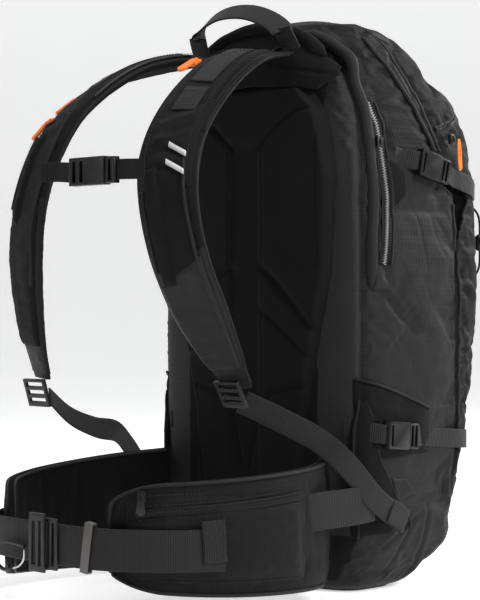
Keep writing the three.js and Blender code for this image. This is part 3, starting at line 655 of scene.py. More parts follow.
def bag_body():
    rows, columns = 330, 460
    levels = bag_levels(rows)
    grid = bag_grid(columns, levels)
    normal = bag_normal(grid.reshape(-1, 3)).reshape(grid.shape)

    coarse_rows, coarse_columns = 100, 140
    coarse = bag_grid(coarse_columns, bag_levels(coarse_rows))
    flat = coarse.reshape(-1, 3)
    y, z, x = flat[:, 1], flat[:, 2], np.abs(flat[:, 0])
    on_side = (x > 0.55 * bag_x(y, z)) & (y > 0) & (y < bag_rows(z)[3] - 6)
    sewn = [CORNER_SEAM, BACK_ZIP, FLAP_BACK, FLAP_FRONT, SIDE_SEAM, POCKET_SEAM, CREASE, GUSSET_EDGE]
    pins = np.zeros(len(flat))
    for line in sewn:
        pins = np.maximum(pins, np.where(on_side, 1 - smoothstep(2, 7, line_distance(y, z, line)), 0))
    for line, _, _ in FRONT_SEAMS:
        ahead = y > bag_rows(z)[2] + 20
        pins = np.maximum(pins, np.where(ahead, 1 - smoothstep(2, 7, line_distance(x, z, line)), 0))
    pins = np.maximum(pins, 1 - smoothstep(6, 22, z))
    pins = np.maximum(pins, np.where(y < 8, 1.0, 0.0))
    pins = np.maximum(pins, smoothstep(596, 604, z))
    faces = loop_faces(coarse_rows, coarse_columns)
    moved = simulate(flat, faces, pins, pressure=0.6, shrink=-0.035, cap=3.8, frames=22)
    shift = (moved - flat).reshape(coarse_rows, coarse_columns, 3)
    grid = grid + resample(shift, rows, columns)

    p = grid.reshape(-1, 3)
    n = normal.reshape(-1, 3)
    x, y, z = p[:, 0], p[:, 1], p[:, 2]
    side = np.abs(n[:, 0]) > 0.5
    ahead = (n[:, 1] > 0.45) & (y > 150)
    behind = (n[:, 1] < -0.5) & (y < 40)
    lift = np.where(side, seam_relief(y, z, SEAMS), 0) + np.where(ahead, seam_relief(np.abs(x), z,
            FRONT_SEAMS), 0)
    free = smoothstep(10, 40, z) * (1 - smoothstep(590, 604, z)) * np.where(behind, 0.15, 1.0)
    lift += free * (1.0 * wobble(p, 95, 3, 2) + 0.45 * wobble(p * (1, 1, 2.2), 34, 7, 2))
    lift += np.where(side, 2.6 * np.exp(-(((y - 92) / 40) ** 2)) * smoothstep(120, 200,
            z) * (1 - smoothstep(330, 430, z)), 0)
    slanted = np.column_stack([x * 0.3, (y + 0.7 * z) * 0.7, (z - 0.8 * y) * 0.3])
    drape = np.abs(wobble(slanted, 44, 17, 2))
    where = smoothstep(110, 170, z) * (1 - smoothstep(380, 480, z)) * (0.5 + 0.5 * wobble(p, 150, 19, 1))
    lift -= np.where(side | ahead, free * 1.3 * np.exp(-((drape / 0.16) ** 2)) * where, 0)
    lift -= np.where(side & inside(y, z, GUSSET_OPENING), 2.2, 0)
    flap = FLAP_BACK + FLAP_FRONT[::-1]
    lift += np.where(side & inside(y, z, flap), 1.4, 0)
    p = p + n * lift[:, None]

    crown = []
    centre = np.array([0, 78.0, BAG_TOP])
    for scale, rise in ((0.82, 1.6), (0.55, 2.6), (0.25, 3.0)):
        crown.append(centre + (p[-columns:] - centre) * (scale, scale, 0) + (0, 0, rise))
    p = np.vstack([p] + crown)
    total = rows + len(crown)
    run = np.concatenate([levels, levels[-1] + np.cumsum([8.0, 12, 14])]) / 1000
    perimeter = np.linalg.norm(np.roll(grid, -1, 1) - grid, axis=2).sum(1)
    around = np.linspace(-0.5, 0.5, columns, endpoint=False)
    widths = np.concatenate([perimeter, perimeter[-1] * np.array([0.82, 0.55, 0.25])]) / 1000
    uv = np.stack([widths[:, None] * around, np.broadcast_to(run[:, None], (total, columns))],
            2).reshape(-1, 2)

    faces = loop_faces(total, columns)
    centres = np.array([p[list(f)].mean(0) for f in faces])
    cx, cy, cz = centres.T
    cn = bag_normal(np.column_stack([cx, cy, np.clip(cz, 4, 600)]))
    index = np.zeros(len(faces), int)
    side = np.abs(cn[:, 0]) > 0.5
    index[(~side) & (cn[:, 1] > 0)] = 1
    index[(cy > 150) & (cz < 480)] = 1
    index[side & (cy > np.interp(cz, [100, 196, 351, 372], [150, 149, 150, 152])) & (cz < 372)] = 1
    flap = FLAP_BACK + FLAP_FRONT[::-1]
    index[side & (cy > 44) & (cz > 458) & ~inside(cy, cz, flap)] = 1
    corner = np.interp(cz, [z for _, z in CORNER_SEAM], [y for y, _ in CORNER_SEAM])
    index[(cy < corner) & (cz < 575)] = 3
    index[(cy < corner) & (np.abs(cx) > 96) & (cz > 60) & (cz < 540)] = 5
    low = (cz < np.interp(cy, [0, 50, 107, 150, 240], [30, 50, 86, 92, 96])) & (cy > 30)
    index[low | (cz < 12)] = 2
    # The recessed side opening takes the near-black cloth: painted shade inside the opening.
    index[side & inside(cy, cz, GUSSET_OPENING)] = 4
    materials = [RIPSTOP, RIPSTOP_DARK, BASE_CLOTH, STRETCH, GUSSET_SHADE, RIPSTOP_LIGHT]
    return make("bag_body", p, faces, materials, "pack",
                ["main_shell", "front_pocket_shell"], uv, index)


bag = facing_out(bag_body())
BAG_TREE = BVHTree.FromPolygons([v.co[:] for v in bag.data.vertices],
        [p.vertices[:] for p in bag.data.polygons])


def settle(points, normals=None, off=0.0):
    """The points moved along their normals on to the bag's fabric, plus off."""
    points = np.asarray(points, float)
    normals = bag_normal(points) if normals is None else normals
    out = points.copy()
    for k, (p, n) in enumerate(zip(points, normals)):
        start = Vector((p + 24 * n - (0, BASE_CENTRE_Y, 0)) / 1000)
        hit = BAG_TREE.ray_cast(start, Vector(-n), 0.06)[0]
        if hit is not None:
            out[k] = np.array(hit) * 1000 + (0, BASE_CENTRE_Y, 0)
    return out + normals * off


def smooth(path, times=2):
    path = np.array(path)
    for _ in range(times):
        path[1:-1] = (path[:-2] + 2 * path[1:-1] + path[2:]) / 4
    return path


def side_path(points, sign, off=0.0, count=80, settled=True):
    """A line on the side of the bag through (y, z) points, with the normals there."""
    line = even([(0, y, z) for y, z in points], count)
    line[:, 0] = sign * bag_x(line[:, 1], line[:, 2])
    n = bag_normal(line)
    if settled:
        line = smooth(settle(line, n), 2)
    return line + n * off, n


def front_path(points, off=0.0, count=80):
    line = even([(x, 0, z) for x, z in points], count)
    line[:, 1] = bag_front(line[:, 0], line[:, 2])
    n = bag_normal(line)
    return smooth(settle(line, n), 2) + n * off, n


def patch(name, corners, sign, thickness, material, body, slot, off=0.0, steps=14, replaces=(), edge=2.0):
    """A piece of fabric sewn on the side of the bag. corners are four (y, z) points in order."""
    a, b, c, d = (np.array(p, float) for p in corners)
    s = np.linspace(0, 1, steps)
    u, v = np.meshgrid(s, s)
    u, v = u.ravel()[:, None], v.ravel()[:, None]
    flat = (a * (1 - u) + b * u) * (1 - v) + (d * (1 - u) + c * u) * v
    line = np.column_stack([np.zeros(len(flat)), flat])
    line[:, 0] = sign * bag_x(line[:, 1], line[:, 2])
    n = bag_normal(line)
    base = settle(line, n)
    rim = np.minimum(np.minimum(u, 1 - u), np.minimum(v, 1 - v)).ravel()
    size = np.linalg.norm(b - a)
    rise = thickness * (0.25 + 0.75 * smoothstep(0, edge / size, rim)) + off
    top = base + n * rise[:, None]
    return sheet_solid(name, base - n * 1.0, top, steps, steps, material, body, flat / 1000, replaces)


def sheet_solid(name, under, over, rows, columns, material, body, uv, replaces=()):
    """A closed piece between two grids of points."""
    faces = []
    count = rows * columns
    for i in range(rows - 1):
        for j in range(columns - 1):
            k = i * columns + j
            faces.append((k, k + 1, k + columns + 1, k + columns))
            faces.append((count + k, count + k + columns, count + k + columns + 1, count + k + 1))
    ring = [j for j in range(columns)] + [i * columns + columns - 1 for i in range(1, rows)]
    ring += [(rows - 1) * columns + j for j in range(columns - 2, -1,
            -1)] + [i * columns for i in range(rows - 2, 0, -1)]
    for a, b in zip(ring, ring[1:] + ring[:1]):
        faces.append((a, b, count + b, count + a))
    return facing_out(make(name, np.vstack([under, over]), faces, material, body, replaces,
            np.vstack([uv, uv])))


def stitches(name, path, normals, body, length=2.6, gap=1.3, radius=0.35, material=THREAD):
    """A row of stitches along a path."""
    path = np.asarray(path, float)
    run = lengths(path)
    count = max(2, int(run[-1] / (length + gap)))
    verts, faces = [], []
    for k in range(count):
        start = k * (length + gap)
        ends = [np.array([np.interp(s, run, path[:, i]) for i in range(3)]) for s in (start,
                start + length)]
        n = unit(np.array([np.interp(start, run, normals[:, i]) for i in range(3)]))
        t = unit(ends[1] - ends[0])
        side = np.cross(t, n)
        base = len(verts)
        for at, size in ((0, 0.4), (0.5, 1.0), (1, 0.4)):
            centre = ends[0] + (ends[1] - ends[0]) * at + n * radius * 0.7 * size
            for angle in range(4):
                turn = angle * math.pi / 2
                verts.append(centre + radius * size * (math.cos(turn) * side + math.sin(turn) * n))
        for row in (0, 4):
            for j in range(4):
                faces.append((base + row + j, base + row + (j + 1) % 4, base + row + 4 + (j + 1) % 4,
                        base + row + 4 + j))
        faces.append((base + 3, base + 2, base + 1, base))
        faces.append((base + 8, base + 9, base + 10, base + 11))
    return make(name, verts, faces, material, body)


def zip_chain(name, path, normals, body, teeth=2.1, tape=6.5, light=TOOTH_LIGHT):
    """Zip tape with interlocking teeth along a path."""
    path = np.asarray(path, float)
    run = lengths(path)
    along = unit(np.gradient(path, axis=0))
    side = unit(np.cross(normals, along))
    section = flat_section(2 * tape, 1.0)
    count = len(path)
    rows, uvs = [], []
    for k in range(count):
        rows.append(path[k] + section[0][:, None] * side[k] + section[1][:, None] * normals[k])
        uvs.append(np.stack([section[0], np.full(len(section[0]), run[k])], 1) / 1000)
    columns = len(section[0])
    tape_obj = facing_out(make(name + "_tape", np.vstack(rows), loop_faces(count, columns), PATCH, body,
                               (), np.vstack(uvs)))
    verts, faces = [], []
    pitch = 1.4
    for k in range(int(run[-1] / pitch)):
        s = (k + 0.5) * pitch
        at = np.array([np.interp(s, run, path[:, i]) for i in range(3)])
        t = unit(np.array([np.interp(s, run, along[:, i]) for i in range(3)]))
        n = unit(np.array([np.interp(s, run, normals[:, i]) for i in range(3)]))
        w = np.cross(n, t)
        sign = 1 if k % 2 else -1
        base = len(verts)
        for h, grow in ((0.2, 1.0), (1.5, 0.86), (1.9, 0.6)):
            for a, b in ((-0.25, -1), (-0.25, 1), (1, 1), (1, -1)):
                reach = 0.1 + a * teeth * (0.9 + 0.1 * grow)
                verts.append(at + w * sign * reach + t * b * 0.62 * grow + n * h)
        for row in (0, 4):
            for j in range(4):
                faces.append((base + row + j, base + row + (j + 1) % 4, base + row + 4 + (j + 1) % 4,
                        base + row + 4 + j))
        faces.append((base + 8, base + 9, base + 10, base + 11))
        faces.append((base + 3, base + 2, base + 1, base))
    facing_out(make(name + "_teeth", verts, faces, light, body, smooth=False))
    return tape_obj


def detailed(node, body, material, width, segments):
    """The CAD solid with its edges rounded off."""
    bm = bmesh.new()
    bm.from_mesh(NODES[node].data)
    bmesh.ops.remove_doubles(bm, verts=bm.verts, dist=2e-6)
    bmesh.ops.dissolve_limit(bm, angle_limit=0.03, verts=bm.verts, edges=bm.edges)
    sharp = [e for e in bm.edges if e.is_manifold and e.calc_face_angle(0) > 0.45]
    bmesh.ops.bevel(bm, geom=sharp, offset=width / 1000, offset_type="OFFSET", segments=segments,
            profile=0.5,
                    affect="EDGES", clamp_overlap=True)
    mesh = bpy.data.meshes.new(node + "_piece")
    bm.to_mesh(mesh)
    bm.free()
    mesh.materials.clear()
    mesh.materials.append(material)
    mesh.polygons.foreach_set("use_smooth", np.ones(len(mesh.polygons), bool))
    mesh.set_sharp_from_angle(angle=0.6)
    obj = bpy.data.objects.new(mesh.name, mesh)
    bpy.context.scene.collection.objects.link(obj)
    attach(obj, body)
    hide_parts(node)
    return obj


# ------------------------------------------------------------------ piping, zips and patches on the bag
def side_details(sign):
    side = SIDE_NAME[sign]

    def piped(name, points, radius, off=0.0, material=PIPING, count=70):
        path, _ = side_path(points, sign, off, count)
        return tube(f"{name}_{side}", path, radius, material, "pack", 10)

    piped("flap_piping_back", FLAP_BACK, 2.6, 0.6)
    piped("flap_piping_front", FLAP_FRONT, 2.2, 0.4)
    piped("gusset_piping_back", GUSSET_EDGE, 1.8, 0.6)
    piped("gusset_piping_front", [(180, 412), (169, 395), (156, 374)], 1.8, 0.6)
    piped("front_seam_piping", PIPED_SEAM, 2.0, 0.2)
    top = [(sign * x, y, z) for x, y, z in ((50, 17, 587), (78, 22, 578), (97, 28, 566), (113, 29, 552))]
    low = [(sign * (bag_x(np.array([y]), np.array([z]))[0] + 0.8), y, z)
           for y, z in ((28.5, 530), (28, 500), (26, 468), (23, 406), (19, 370), (17, 338), (16, 314))]
    roll = even(top + low, 150)
    ends = np.minimum(1, 0.35 + 12 * np.minimum(np.linspace(0, 1, 150), np.linspace(1, 0, 150)))
    radius = 6.4 * ends * (1 + 0.06 * wobble(roll, 24, 15, 2))
    bolster = tube(f"shoulder_bolster_{side}", roll, radius, RIPSTOP, "pack", 16)
    path, n = side_path(BACK_ZIP, sign, 1.9, 120)
    zip_chain(f"back_zip_{side}", path, n, "pack")
    for k, shift in enumerate((-8.5, 8.5)):
        edge, _ = side_path([(y + shift * (1.0 if k else 0.9), z) for y, z in BACK_ZIP], sign, 0.3, 80)
        tube(f"back_zip_edge_{k}_{side}", edge, 1.5, PIPING, "pack", 8)
        line, ln = side_path([(y + shift * (1.55 if k else 1.5), z) for y, z in BACK_ZIP], sign, 0.25, 80)
        stitches(f"back_zip_stitches_{k}_{side}", line, ln, "pack")
    patch(f"zip_garage_{side}", [(16, 312), (32, 312), (34, 340), (20, 342)], sign, 2.2, BASE_CLOTH, "pack",
            "shell_fabric")
    patch(f"zip_top_garage_{side}", [(26, 500), (41, 500), (39, 514), (28, 516)], sign, 2.0, BASE_CLOTH,
            "pack", "shell_fabric")
    patch(f"base_patch_{side}", [(43, 119), (66, 117), (87, 99), (52, 92)], sign, 1.2, PATCH, "pack",
            "panel_fabric")
    patch(f"compression_anchor_{side}", [(40, 456), (68, 434), (68, 412), (43, 388)], sign, 1.4, STRETCH,
            "pack", "panel_fabric")
    for k, line in enumerate(([(50, 452), (66, 436)], [(50, 398), (66, 413)], [(62, 433), (62, 414)])):
        at, n = side_path(line, sign, 1.7, 20)
        stitches(f"anchor_stitches_{k}_{side}", at, n, "pack")
    tab, n = side_path([(99, 590), (106, 587), (114, 582)], sign, 1.2, 24, settled=False)
    swept(f"top_tab_{side}", tab, np.cross(n, unit(np.gradient(tab, axis=0))), lambda k: flat_section(14,
            2.4),
          WEBBING, "pack")
    for k, line in enumerate((CORNER_SEAM[1:-1], SIDE_SEAM, POCKET_SEAM)):
        for j, shift in enumerate((-3.2, 3.2)):
            if k == 0 and j == 0:
                continue
            at, n = side_path([(y + shift, z) for y, z in line], sign, 0.2, 90)
            stitches(f"seam_stitches_{k}{j}_{side}", at, n, "pack", 3.0, 1.5, 0.32)


for sign in (LEFT, RIGHT):
    side_details(sign)


# ------------------------------------------------------------------ front of the bag
def front_details():
    for sign in (LEFT, RIGHT):
        side = SIDE_NAME[sign]
        patch(f"compression_sleeve_{side}", [(2, 222), (98, 190), (100, 143), (4, 138)], sign, 2.4, STRETCH,
                "pack", "shell_fabric", steps=40, edge=14)
        path, _ = side_path([(4, 222), (50, 207), (97, 190)], sign, 1.6, 60)
        tube(f"sleeve_piping_{side}", path, 1.5, PIPING, "pack", 8)
        path, n = side_path([(130, 485), (142, 488), (160, 494), (173, 502)], sign, 1.0, 70)
        zip_chain(f"pocket_zip_{side}", path, n, "pack", 2.0, 5.0, TOOTH_DARK)
        ladder, n = front_path([(sign * 64, 470), (sign * 66, 300), (sign * 64, 140)], 1.6, 120)
        swept(f"tool_webbing_{side}", ladder, (1, 0, 0), lambda k: flat_section(SIDE_WEBBING, 1.8),
                WEBBING, "pack")
        for k in range(9):
            at = ladder[8 + k * 13] + n[8 + k * 13] * 1.0
            line = np.linspace(at - (9, 0, 0), at + (9, 0, 0), 12)
            stitches(f"tool_webbing_bars_{k}_{side}", line, np.tile(n[8 + k * 13], (12, 1)), "pack")
        foot = front_path([(sign * 64, 150), (sign * 64, 104)], 1.0, 30)[0]
        loop = even([foot[0], foot[12] + (0, 12, -6), foot[20] + (0, 17, -12), foot[28] + (0, 9, -10),
                foot[29]], 50)
        swept(f"tool_loop_{side}", loop, (1, 0, 0), lambda k: flat_section(SIDE_WEBBING, 1.8), WEBBING,
                "pack")
    path, n = front_path([(-112, 500), (-60, 508), (0, 511), (60, 508), (112, 500)], 1.0, 160)
    zip_chain("pocket_zip_front", path, n, "pack", 2.0, 5.0, TOOTH_DARK)
    path, _ = front_path([(-104, 486), (-50, 490), (0, 492), (50, 490), (104, 486)], 0.5, 120)
    tube("pocket_piping_front", path, 2.0, PIPING, "pack", 8)
    path, n = front_path([(0, 470), (0, 300), (0, 132)], 0.4, 160)
    stitches("pocket_centre_stitches", path, n, "pack")


front_details()

# ------------------------------------------------------------------ back panel
BACK_OPENING = [(64, 96), (110, 108), (300, 124), (430, 126), (500, 110), (532, 84), (546, 50)]
PAD_OUTLINE = [(70, 74), (84, 74), (100, 79), (180, 83), (270, 101), (330, 115), (430, 119), (496, 104),
        (524, 80), (534, 56)]
CHANNELS = [
    ([(21, 466), (45, 487), (74, 501), (112, 508)], 3.0, 3.5),
    ([(23, 336), (34, 331), (70, 298), (98, 268)], 4.5, 5.0),
    ([(23, 291), (34, 286), (70, 260), (98, 236)], 3.0, 3.5),
    ([(6, 128), (12, 150), (22, 187), (40, 205), (90, 214)], 2.6, 3.5),
]


def back_face():
    rows, columns = 240, 150
    z = np.linspace(62, 546, rows)
    half = np.interp(z, [r[0] for r in BACK_OPENING], [r[1] for r in BACK_OPENING]) + 2
    t = np.linspace(-1, 1, columns)
    X = (half[:, None] * t).ravel()
    Z = np.repeat(z, columns)
    skin = bag_back(X, Z)
    pad_half = np.interp(Z, [r[0] for r in PAD_OUTLINE], [r[1] for r in PAD_OUTLINE])
    edge = np.minimum(pad_half - np.abs(X), np.minimum(Z - 74, 532 - Z))
    mask = smoothstep(-1, 9, edge)
    central = smoothstep(17, 25, np.abs(X)) + smoothstep(462, 476, Z)
    mask *= np.clip(central, 0, 1) * 0.22 + 0.78
    crown = 1 - 0.12 * (1 - smoothstep(0, 40, edge))
    relief = mask * crown
    for line, depth, width in CHANNELS:
        d = line_distance(np.abs(X), Z, line)
        relief -= depth / 14 * np.exp(-((d / width) ** 2)) * mask
    for line in ([(25, 470), (25, 336)], [(25, 290), (25, 205)], [(100, 480), (104, 340)], [(80, 200), (62,
            100)]):
        d = line_distance(np.abs(X), Z, line)
        relief -= 0.10 * np.exp(-((d / 1.8) ** 2)) * mask
    y = skin + 0.6 + (PAD_FACE_Y - skin) * relief
    p = np.column_stack([X, y, Z])
    p[:, 1] += mask * 0.5 * wobble(p, 42, 11, 2) + (1 - mask) * 0.3 * wobble(p, 30, 12, 1)
    border = (np.abs(np.tile(t, rows)) > 0.985) | (Z < 63) | (Z > 544.5)
    p[:, 1] = np.where(border, skin + 5, p[:, 1])
    back = np.column_stack([X, np.maximum(p[:, 1] + 4, skin + 6), Z])
    uv = np.column_stack([X, Z]) / 1000
    return sheet_solid("back_pad", back, p, rows, columns, STRETCH, "pack", uv,
            ["back_panel"])


back_pad = back_face()


def yoke():
    """Fabric across the top of the back that carries the shoulder straps."""
    rows, columns = 26, 110
    x = np.linspace(-112, 112, columns)
    lower = np.column_stack([x, np.zeros(columns), np.interp(np.abs(x), [0, 60, 92, 112], [531, 527, 522,
            538])])
    lower[:, 1] = np.interp(np.abs(x), [0, 60, 84, 100, 112], [-14, -13, -8, -2, 8])
    upper = np.column_stack([x, np.zeros(columns), np.interp(np.abs(x), [0, 40, 70, 94, 112], [590, 586,
            575, 558, 545])])
    upper[:, 1] = np.interp(np.abs(x), [0, 60, 84, 100, 112], [4, 3, 4, 6, 10])
    s = np.linspace(0, 1, rows)[:, None, None]
    p = (lower * (1 - s) + upper * s).reshape(-1, 3)
    bow = np.sin(math.pi * np.linspace(0, 1, rows)).repeat(columns)
    p[:, 1] -= bow * (3.0 + 1.2 * wobble(p, 46, 21, 2))
    d = line_distance(np.abs(p[:, 0]), p[:, 2], [(20, 556), (64, 545), (110, 536)])
    p[:, 1] += 1.6 * np.exp(-((d / 2.2) ** 2))
    back = p + (0, 5, 0)
    uv = p[:, (0, 2)] / 1000
    return sheet_solid("yoke", back, p, rows, columns, STRETCH, "pack", uv, ["top_yoke"])


yoke()
roll = even([(-96, 8, 556), (-84, 6, 568), (-60, 6, 583), (-30, 6, 592), (0, 6, 595), (30, 6, 592), (60, 6,
        583),
             (84, 6, 568), (96, 8, 556)], 90)
roll_radius = 6.6 + 0.5 * wobble(roll, 28, 5, 1)
roll_piece = tube("top_roll", roll, roll_radius * np.minimum(1, np.sin(math.pi * np.linspace(0.03, 0.97,
        90)) * 4),
                  STRETCH, "pack", 20)
for k, shift in enumerate((-5.8, 5.4)):
    lines = roll + (0, -2.6, shift * 0.75)
    stitches(f"roll_stitches_{k}", lines, np.tile((0, -1.0, 0.2), (90, 1)), "pack")


# ------------------------------------------------------------------ side fins
def fin(sign):
    side = SIDE_NAME[sign]
    count = 34
    ys, zs = np.meshgrid(np.linspace(0, 1, 20), np.linspace(58, 201, count))
    z = zs.ravel()
    left = np.interp(z, [58, 110, 155, 201], [4, -3, -2, 5])
    right = np.interp(z, [58, 74, 98, 141, 180, 201], [80, 82, 55, 26, 17, 10])
    u = ys.ravel()
    y = left + (right - left) * u
    p = np.column_stack([sign * bag_x(np.maximum(y, 2), z), y, z])
    n = np.tile((float(sign), 0, 0), (len(p), 1))
    rise = 3.2 + 1.6 * np.sin(math.pi * u) * smoothstep(60, 100, z) * (1 - smoothstep(180, 200, z))
    rise += 0.6 * wobble(p, 30, 31, 2)
    rim = np.minimum(np.minimum(u, 1 - u) * 12, np.minimum(z - 58, 201 - z) / 5)
    rise = 0.8 + rise * smoothstep(0, 1, rim)
    top = p + n * rise[:, None]
    obj = sheet_solid(f"side_fin_piece_{side}", p - n * 1.5, top, count, 20, STRETCH, "pack",
            np.column_stack([y, z]) / 1000, [f"side_fin_{side}"])
    edge = top.reshape(count, 20, 3)
    for k, column in enumerate((1, 18)):
        tube(f"fin_binding_{k}_{side}", smooth(edge[:, column] + (sign * 0.4, 0, 0), 3), 1.7, BINDING,
                "pack", 8)
    box_line = [(48, 62), (76, 62), (76, 84), (48, 86), (48, 62)]
    line = np.concatenate([np.linspace(a, b, 16) for a, b in zip(box_line[:-1], box_line[1:])])
    at = np.column_stack([sign * (bag_x(line[:, 0], line[:, 1]) + 6.6), line[:, 0], line[:, 1]])
    stitches(f"fin_stitches_{side}", at, np.tile((float(sign), 0, 0), (len(at), 1)), "pack")
    return obj


for sign in (LEFT, RIGHT):
    fin(sign)


# ------------------------------------------------------------------ shoulder straps
def strap_side(sign, t):
    return np.stack([np.full_like(t, 0.974), sign * 0.225 * np.minimum(1, 2.5 * t),
                     -sign * 0.18 * np.sin(math.pi * np.minimum(1, 2 * t))], 1)


def strap_width(t):
    return STRAP_WIDTH - 34 * smoothstep(0.72, 1, t) - 16 * (1 - smoothstep(0, 0.16, t))


def strap_thickness(t):
    return 12 * np.minimum(np.minimum(1, 0.5 + 4 * t), 0.45 + 3 * (1 - t))


class Strap:
    """The shape of one shoulder strap, with points on its outer face by (t, share of the width)."""

    def __init__(self, sign):
        self.sign = sign
        self.name = SIDE_NAME[sign]
        self.count = 190
        self.t = np.linspace(0, 1, self.count)
        self.path = path_at(STRAP[sign], self.t)
        self.along, self.side, self.out = axes_along(self.path, strap_side(sign, self.t))
        self.width = strap_width(self.t)
        self.thick = strap_thickness(self.t)
        self.run = lengths(self.path)

    def at(self, t, across, off=0.0):
        t, across = np.broadcast_arrays(np.asarray(t, float), np.asarray(across, float))
        pick = lambda values: np.stack([np.interp(t, self.t, values[:, k]) for k in range(3)], -1)
        centre, side, out = pick(self.path), unit(pick(self.side)), unit(pick(self.out))
        half = np.interp(t, self.t, self.width) / 2
        thick = np.interp(t, self.t, self.thick) / 2
        crown = thick * (1 - np.abs(across) ** 4) ** 0.5
        return centre + side * (across * half)[..., None] + out * (crown + off)[..., None], out

    def body(self):
        around = 56
        angle = np.linspace(0, 2 * math.pi, around, endpoint=False)
        c, s = np.cos(angle), np.sin(angle)
        u = np.sign(c) * np.abs(c) ** 0.55
        v = np.sign(s) * np.abs(s) ** 0.6
        rows, uvs = [], []
        for k in range(self.count):
            half, thick = self.width[k] / 2, self.thick[k] / 2
            inner = np.where(v < 0, 0.92, 1.0)
            rows.append(self.path[k] + self.side[k] * (u * half)[:,
                    None] + self.out[k] * (v * thick * inner)[:, None])
            uvs.append(np.stack([angle * half, np.full(around, self.run[k])], 1) / 1000)
        grid = np.array(rows)
        points = grid.reshape(-1, 3)
        edge = np.tile(np.abs(u) > 0.9, self.count).astype(float) * 0.8
        ends = np.repeat((self.t < 0.05) | (self.t > 0.95), around)
        pins = np.maximum(edge, ends.astype(float))
        faces = loop_faces(self.count, around)
        moved = simulate(points, faces, pins, pressure=1.0, shrink=-0.02, cap=0.7, frames=14)
        name = f"strap_{self.name}_foam"
        outer = np.tile(v > 0.1, self.count - 1)
        t_face = np.repeat(self.t[:-1], around)
        index = np.where(outer & (t_face > 0.62), 1, 0)
        index = np.concatenate([index, [0, 0]])
        rib = np.tile(np.where(v < -0.3, 1, 0), self.count - 1)
        index[: len(rib)] = np.where(rib == 1, 2, index[: len(rib)])
        obj = make(name, moved, faces, [STRAP_CLOTH, STRAP_SHINE, SPACER], "pack",
                   [f"shoulder_strap_{self.name}"], np.vstack(uvs), index)
        facing_out(obj)
        for k, across in enumerate((-0.985, 0.985)):
            edge_path = self.path_edge(across)
            tube(f"strap_{self.name}_binding_{k}", edge_path, 2.1, BINDING, "pack", 10)
        return obj

    def path_edge(self, across):
        keep = slice(3, self.count - 3)
        return self.path[keep] + self.side[keep] * (across * self.width[keep] / 2)[:, None]

    def cover(self, t0, t1, a0, a1, name, material, thickness=2.4, wrinkle=1.0, seed=1, replaces=(),
            rows=110, columns=26,
              lift=0.9, edge=5.0, skew=0.0):
        """A panel of fabric lying on the strap's outer face."""
        tt = np.linspace(t0, t1, rows)
        aa = np.linspace(a0, a1, columns)
        T, A = np.meshgrid(tt, aa, indexing="ij")
        T, A = T.ravel(), A.ravel()
        start = (t1 - T) / (t1 - t0)
        base, out = self.at(T - skew * A * start, A, 0.2)
        length = (t1 - t0) * self.run[-1]
        width = (a1 - a0) * HALF_STRAP
        rim = np.minimum(np.minimum(T - t0, t1 - T) / (t1 - t0) * length, np.minimum(A - a0,
                a1 - A) / (a1 - a0) * width)
        folds = wrinkle * (0.8 * wobble(base * (0.5, 0.5, 1.6), 26, seed, 2) + 0.5 * wobble(base, 60,
                seed + 9, 2))
        rise = lift + np.maximum(thickness + folds, 0.5) * smoothstep(0, edge, rim)
        over = base + out * rise[:, None]
        under = base - out * 1.2
        uv = np.column_stack([A * HALF_STRAP, T * self.run[-1]]) / 1000
        return sheet_solid(name, under, over, rows, columns, material, "pack", uv, replaces)

    def line(self, points, off, count=60):
        """A line on the outer face through (t, across) points."""
        fine = even([(t * STRAP_STEPS, a * HALF_STRAP, 0) for t, a in points], count)
        return self.at(fine[:, 0] / STRAP_STEPS, fine[:, 1] / HALF_STRAP, off)


straps = {sign: Strap(sign) for sign in (LEFT, RIGHT)}


def dress_strap(strap):
    name = strap.name
    strap.body()
    strap.cover(0.05, 0.9, -0.78, 0.78, f"strap_{name}_panel", STRAP_CLOTH, 1.1, 0.6, 41,
            [f"strap_cover_{name}"], 150, 34)
    strap.cover(0.42, 0.7, -0.9, 0.0, f"strap_{name}_pocket", STRAP_CLOTH, 4.6, 1.2, 47, (), 90, 30, 0.9,
            13.0, 0.02)
    # Painted shade: the lower panel is the lighter ripstop on the near (left) strap but the darker strap
    # cloth on the far (right) strap.
    strap.cover(0.665, 0.9, -0.88, 0.86, f"strap_{name}_lower_panel",
            STRAP_SHINE if strap.sign == LEFT else STRAP_CLOTH, 1.4, 1.1, 49, (), 90, 34, 2.4, 5.0, 0.03)
    strap.cover(0.31, 0.5, -0.8, 0.9, f"strap_{name}_chest_panel", STRAP_CLOTH, 3.0, 1.6, 53, (), 90, 34,
            1.2, 16.0, 0.03)
    for k, points in enumerate((
        [(0.08, 0.72), (0.3, 0.7), (0.6, 0.74), (0.86, 0.66)], [(0.08, -0.72), (0.3, -0.72), (0.6, -0.7),
        (0.86, -0.66)],
        [(0.695, -0.8), (0.675, 0), (0.652, 0.8)],
    )):
        at, n = strap.line(points, 3.2, 130)
        stitches(f"strap_{name}_stitches_{k}", at, n, "pack")
    at, n = strap.line([(0.42, 0.62), (0.5, 0.7), (0.6, 0.78), (0.7, 0.74), (0.79, 0.8)], 3.0, 120)
    tube(f"strap_{name}_piping", at, 1.7, PIPING, "pack", 10)
    at, n = strap.line([(0.49, -0.7), (0.55, -0.66), (0.61, -0.66), (0.66, -0.7)], 4.2, 90)
    zip_chain(f"strap_{name}_zip", at, n, "pack", 1.5, 3.6, TOOTH_DARK)
    at, n = strap.line([(0.1, 0.97), (0.18, 0.95), (0.27, 0.93), (0.36, 0.95)], 1.2, 90)
    zip_chain(f"strap_{name}_top_zip", at, n, "pack", 1.5, 3.2, TOOTH_DARK)
    ribbed(strap, f"strap_{name}_root_patch", (0.1, 0.245), (-0.5, 0.5), 3.0)
    ribbed(strap, f"strap_{name}_chest_patch", (0.262, 0.318), (-0.45, 0.55), 3.2)
    if strap.sign == LEFT:
        mark(strap)


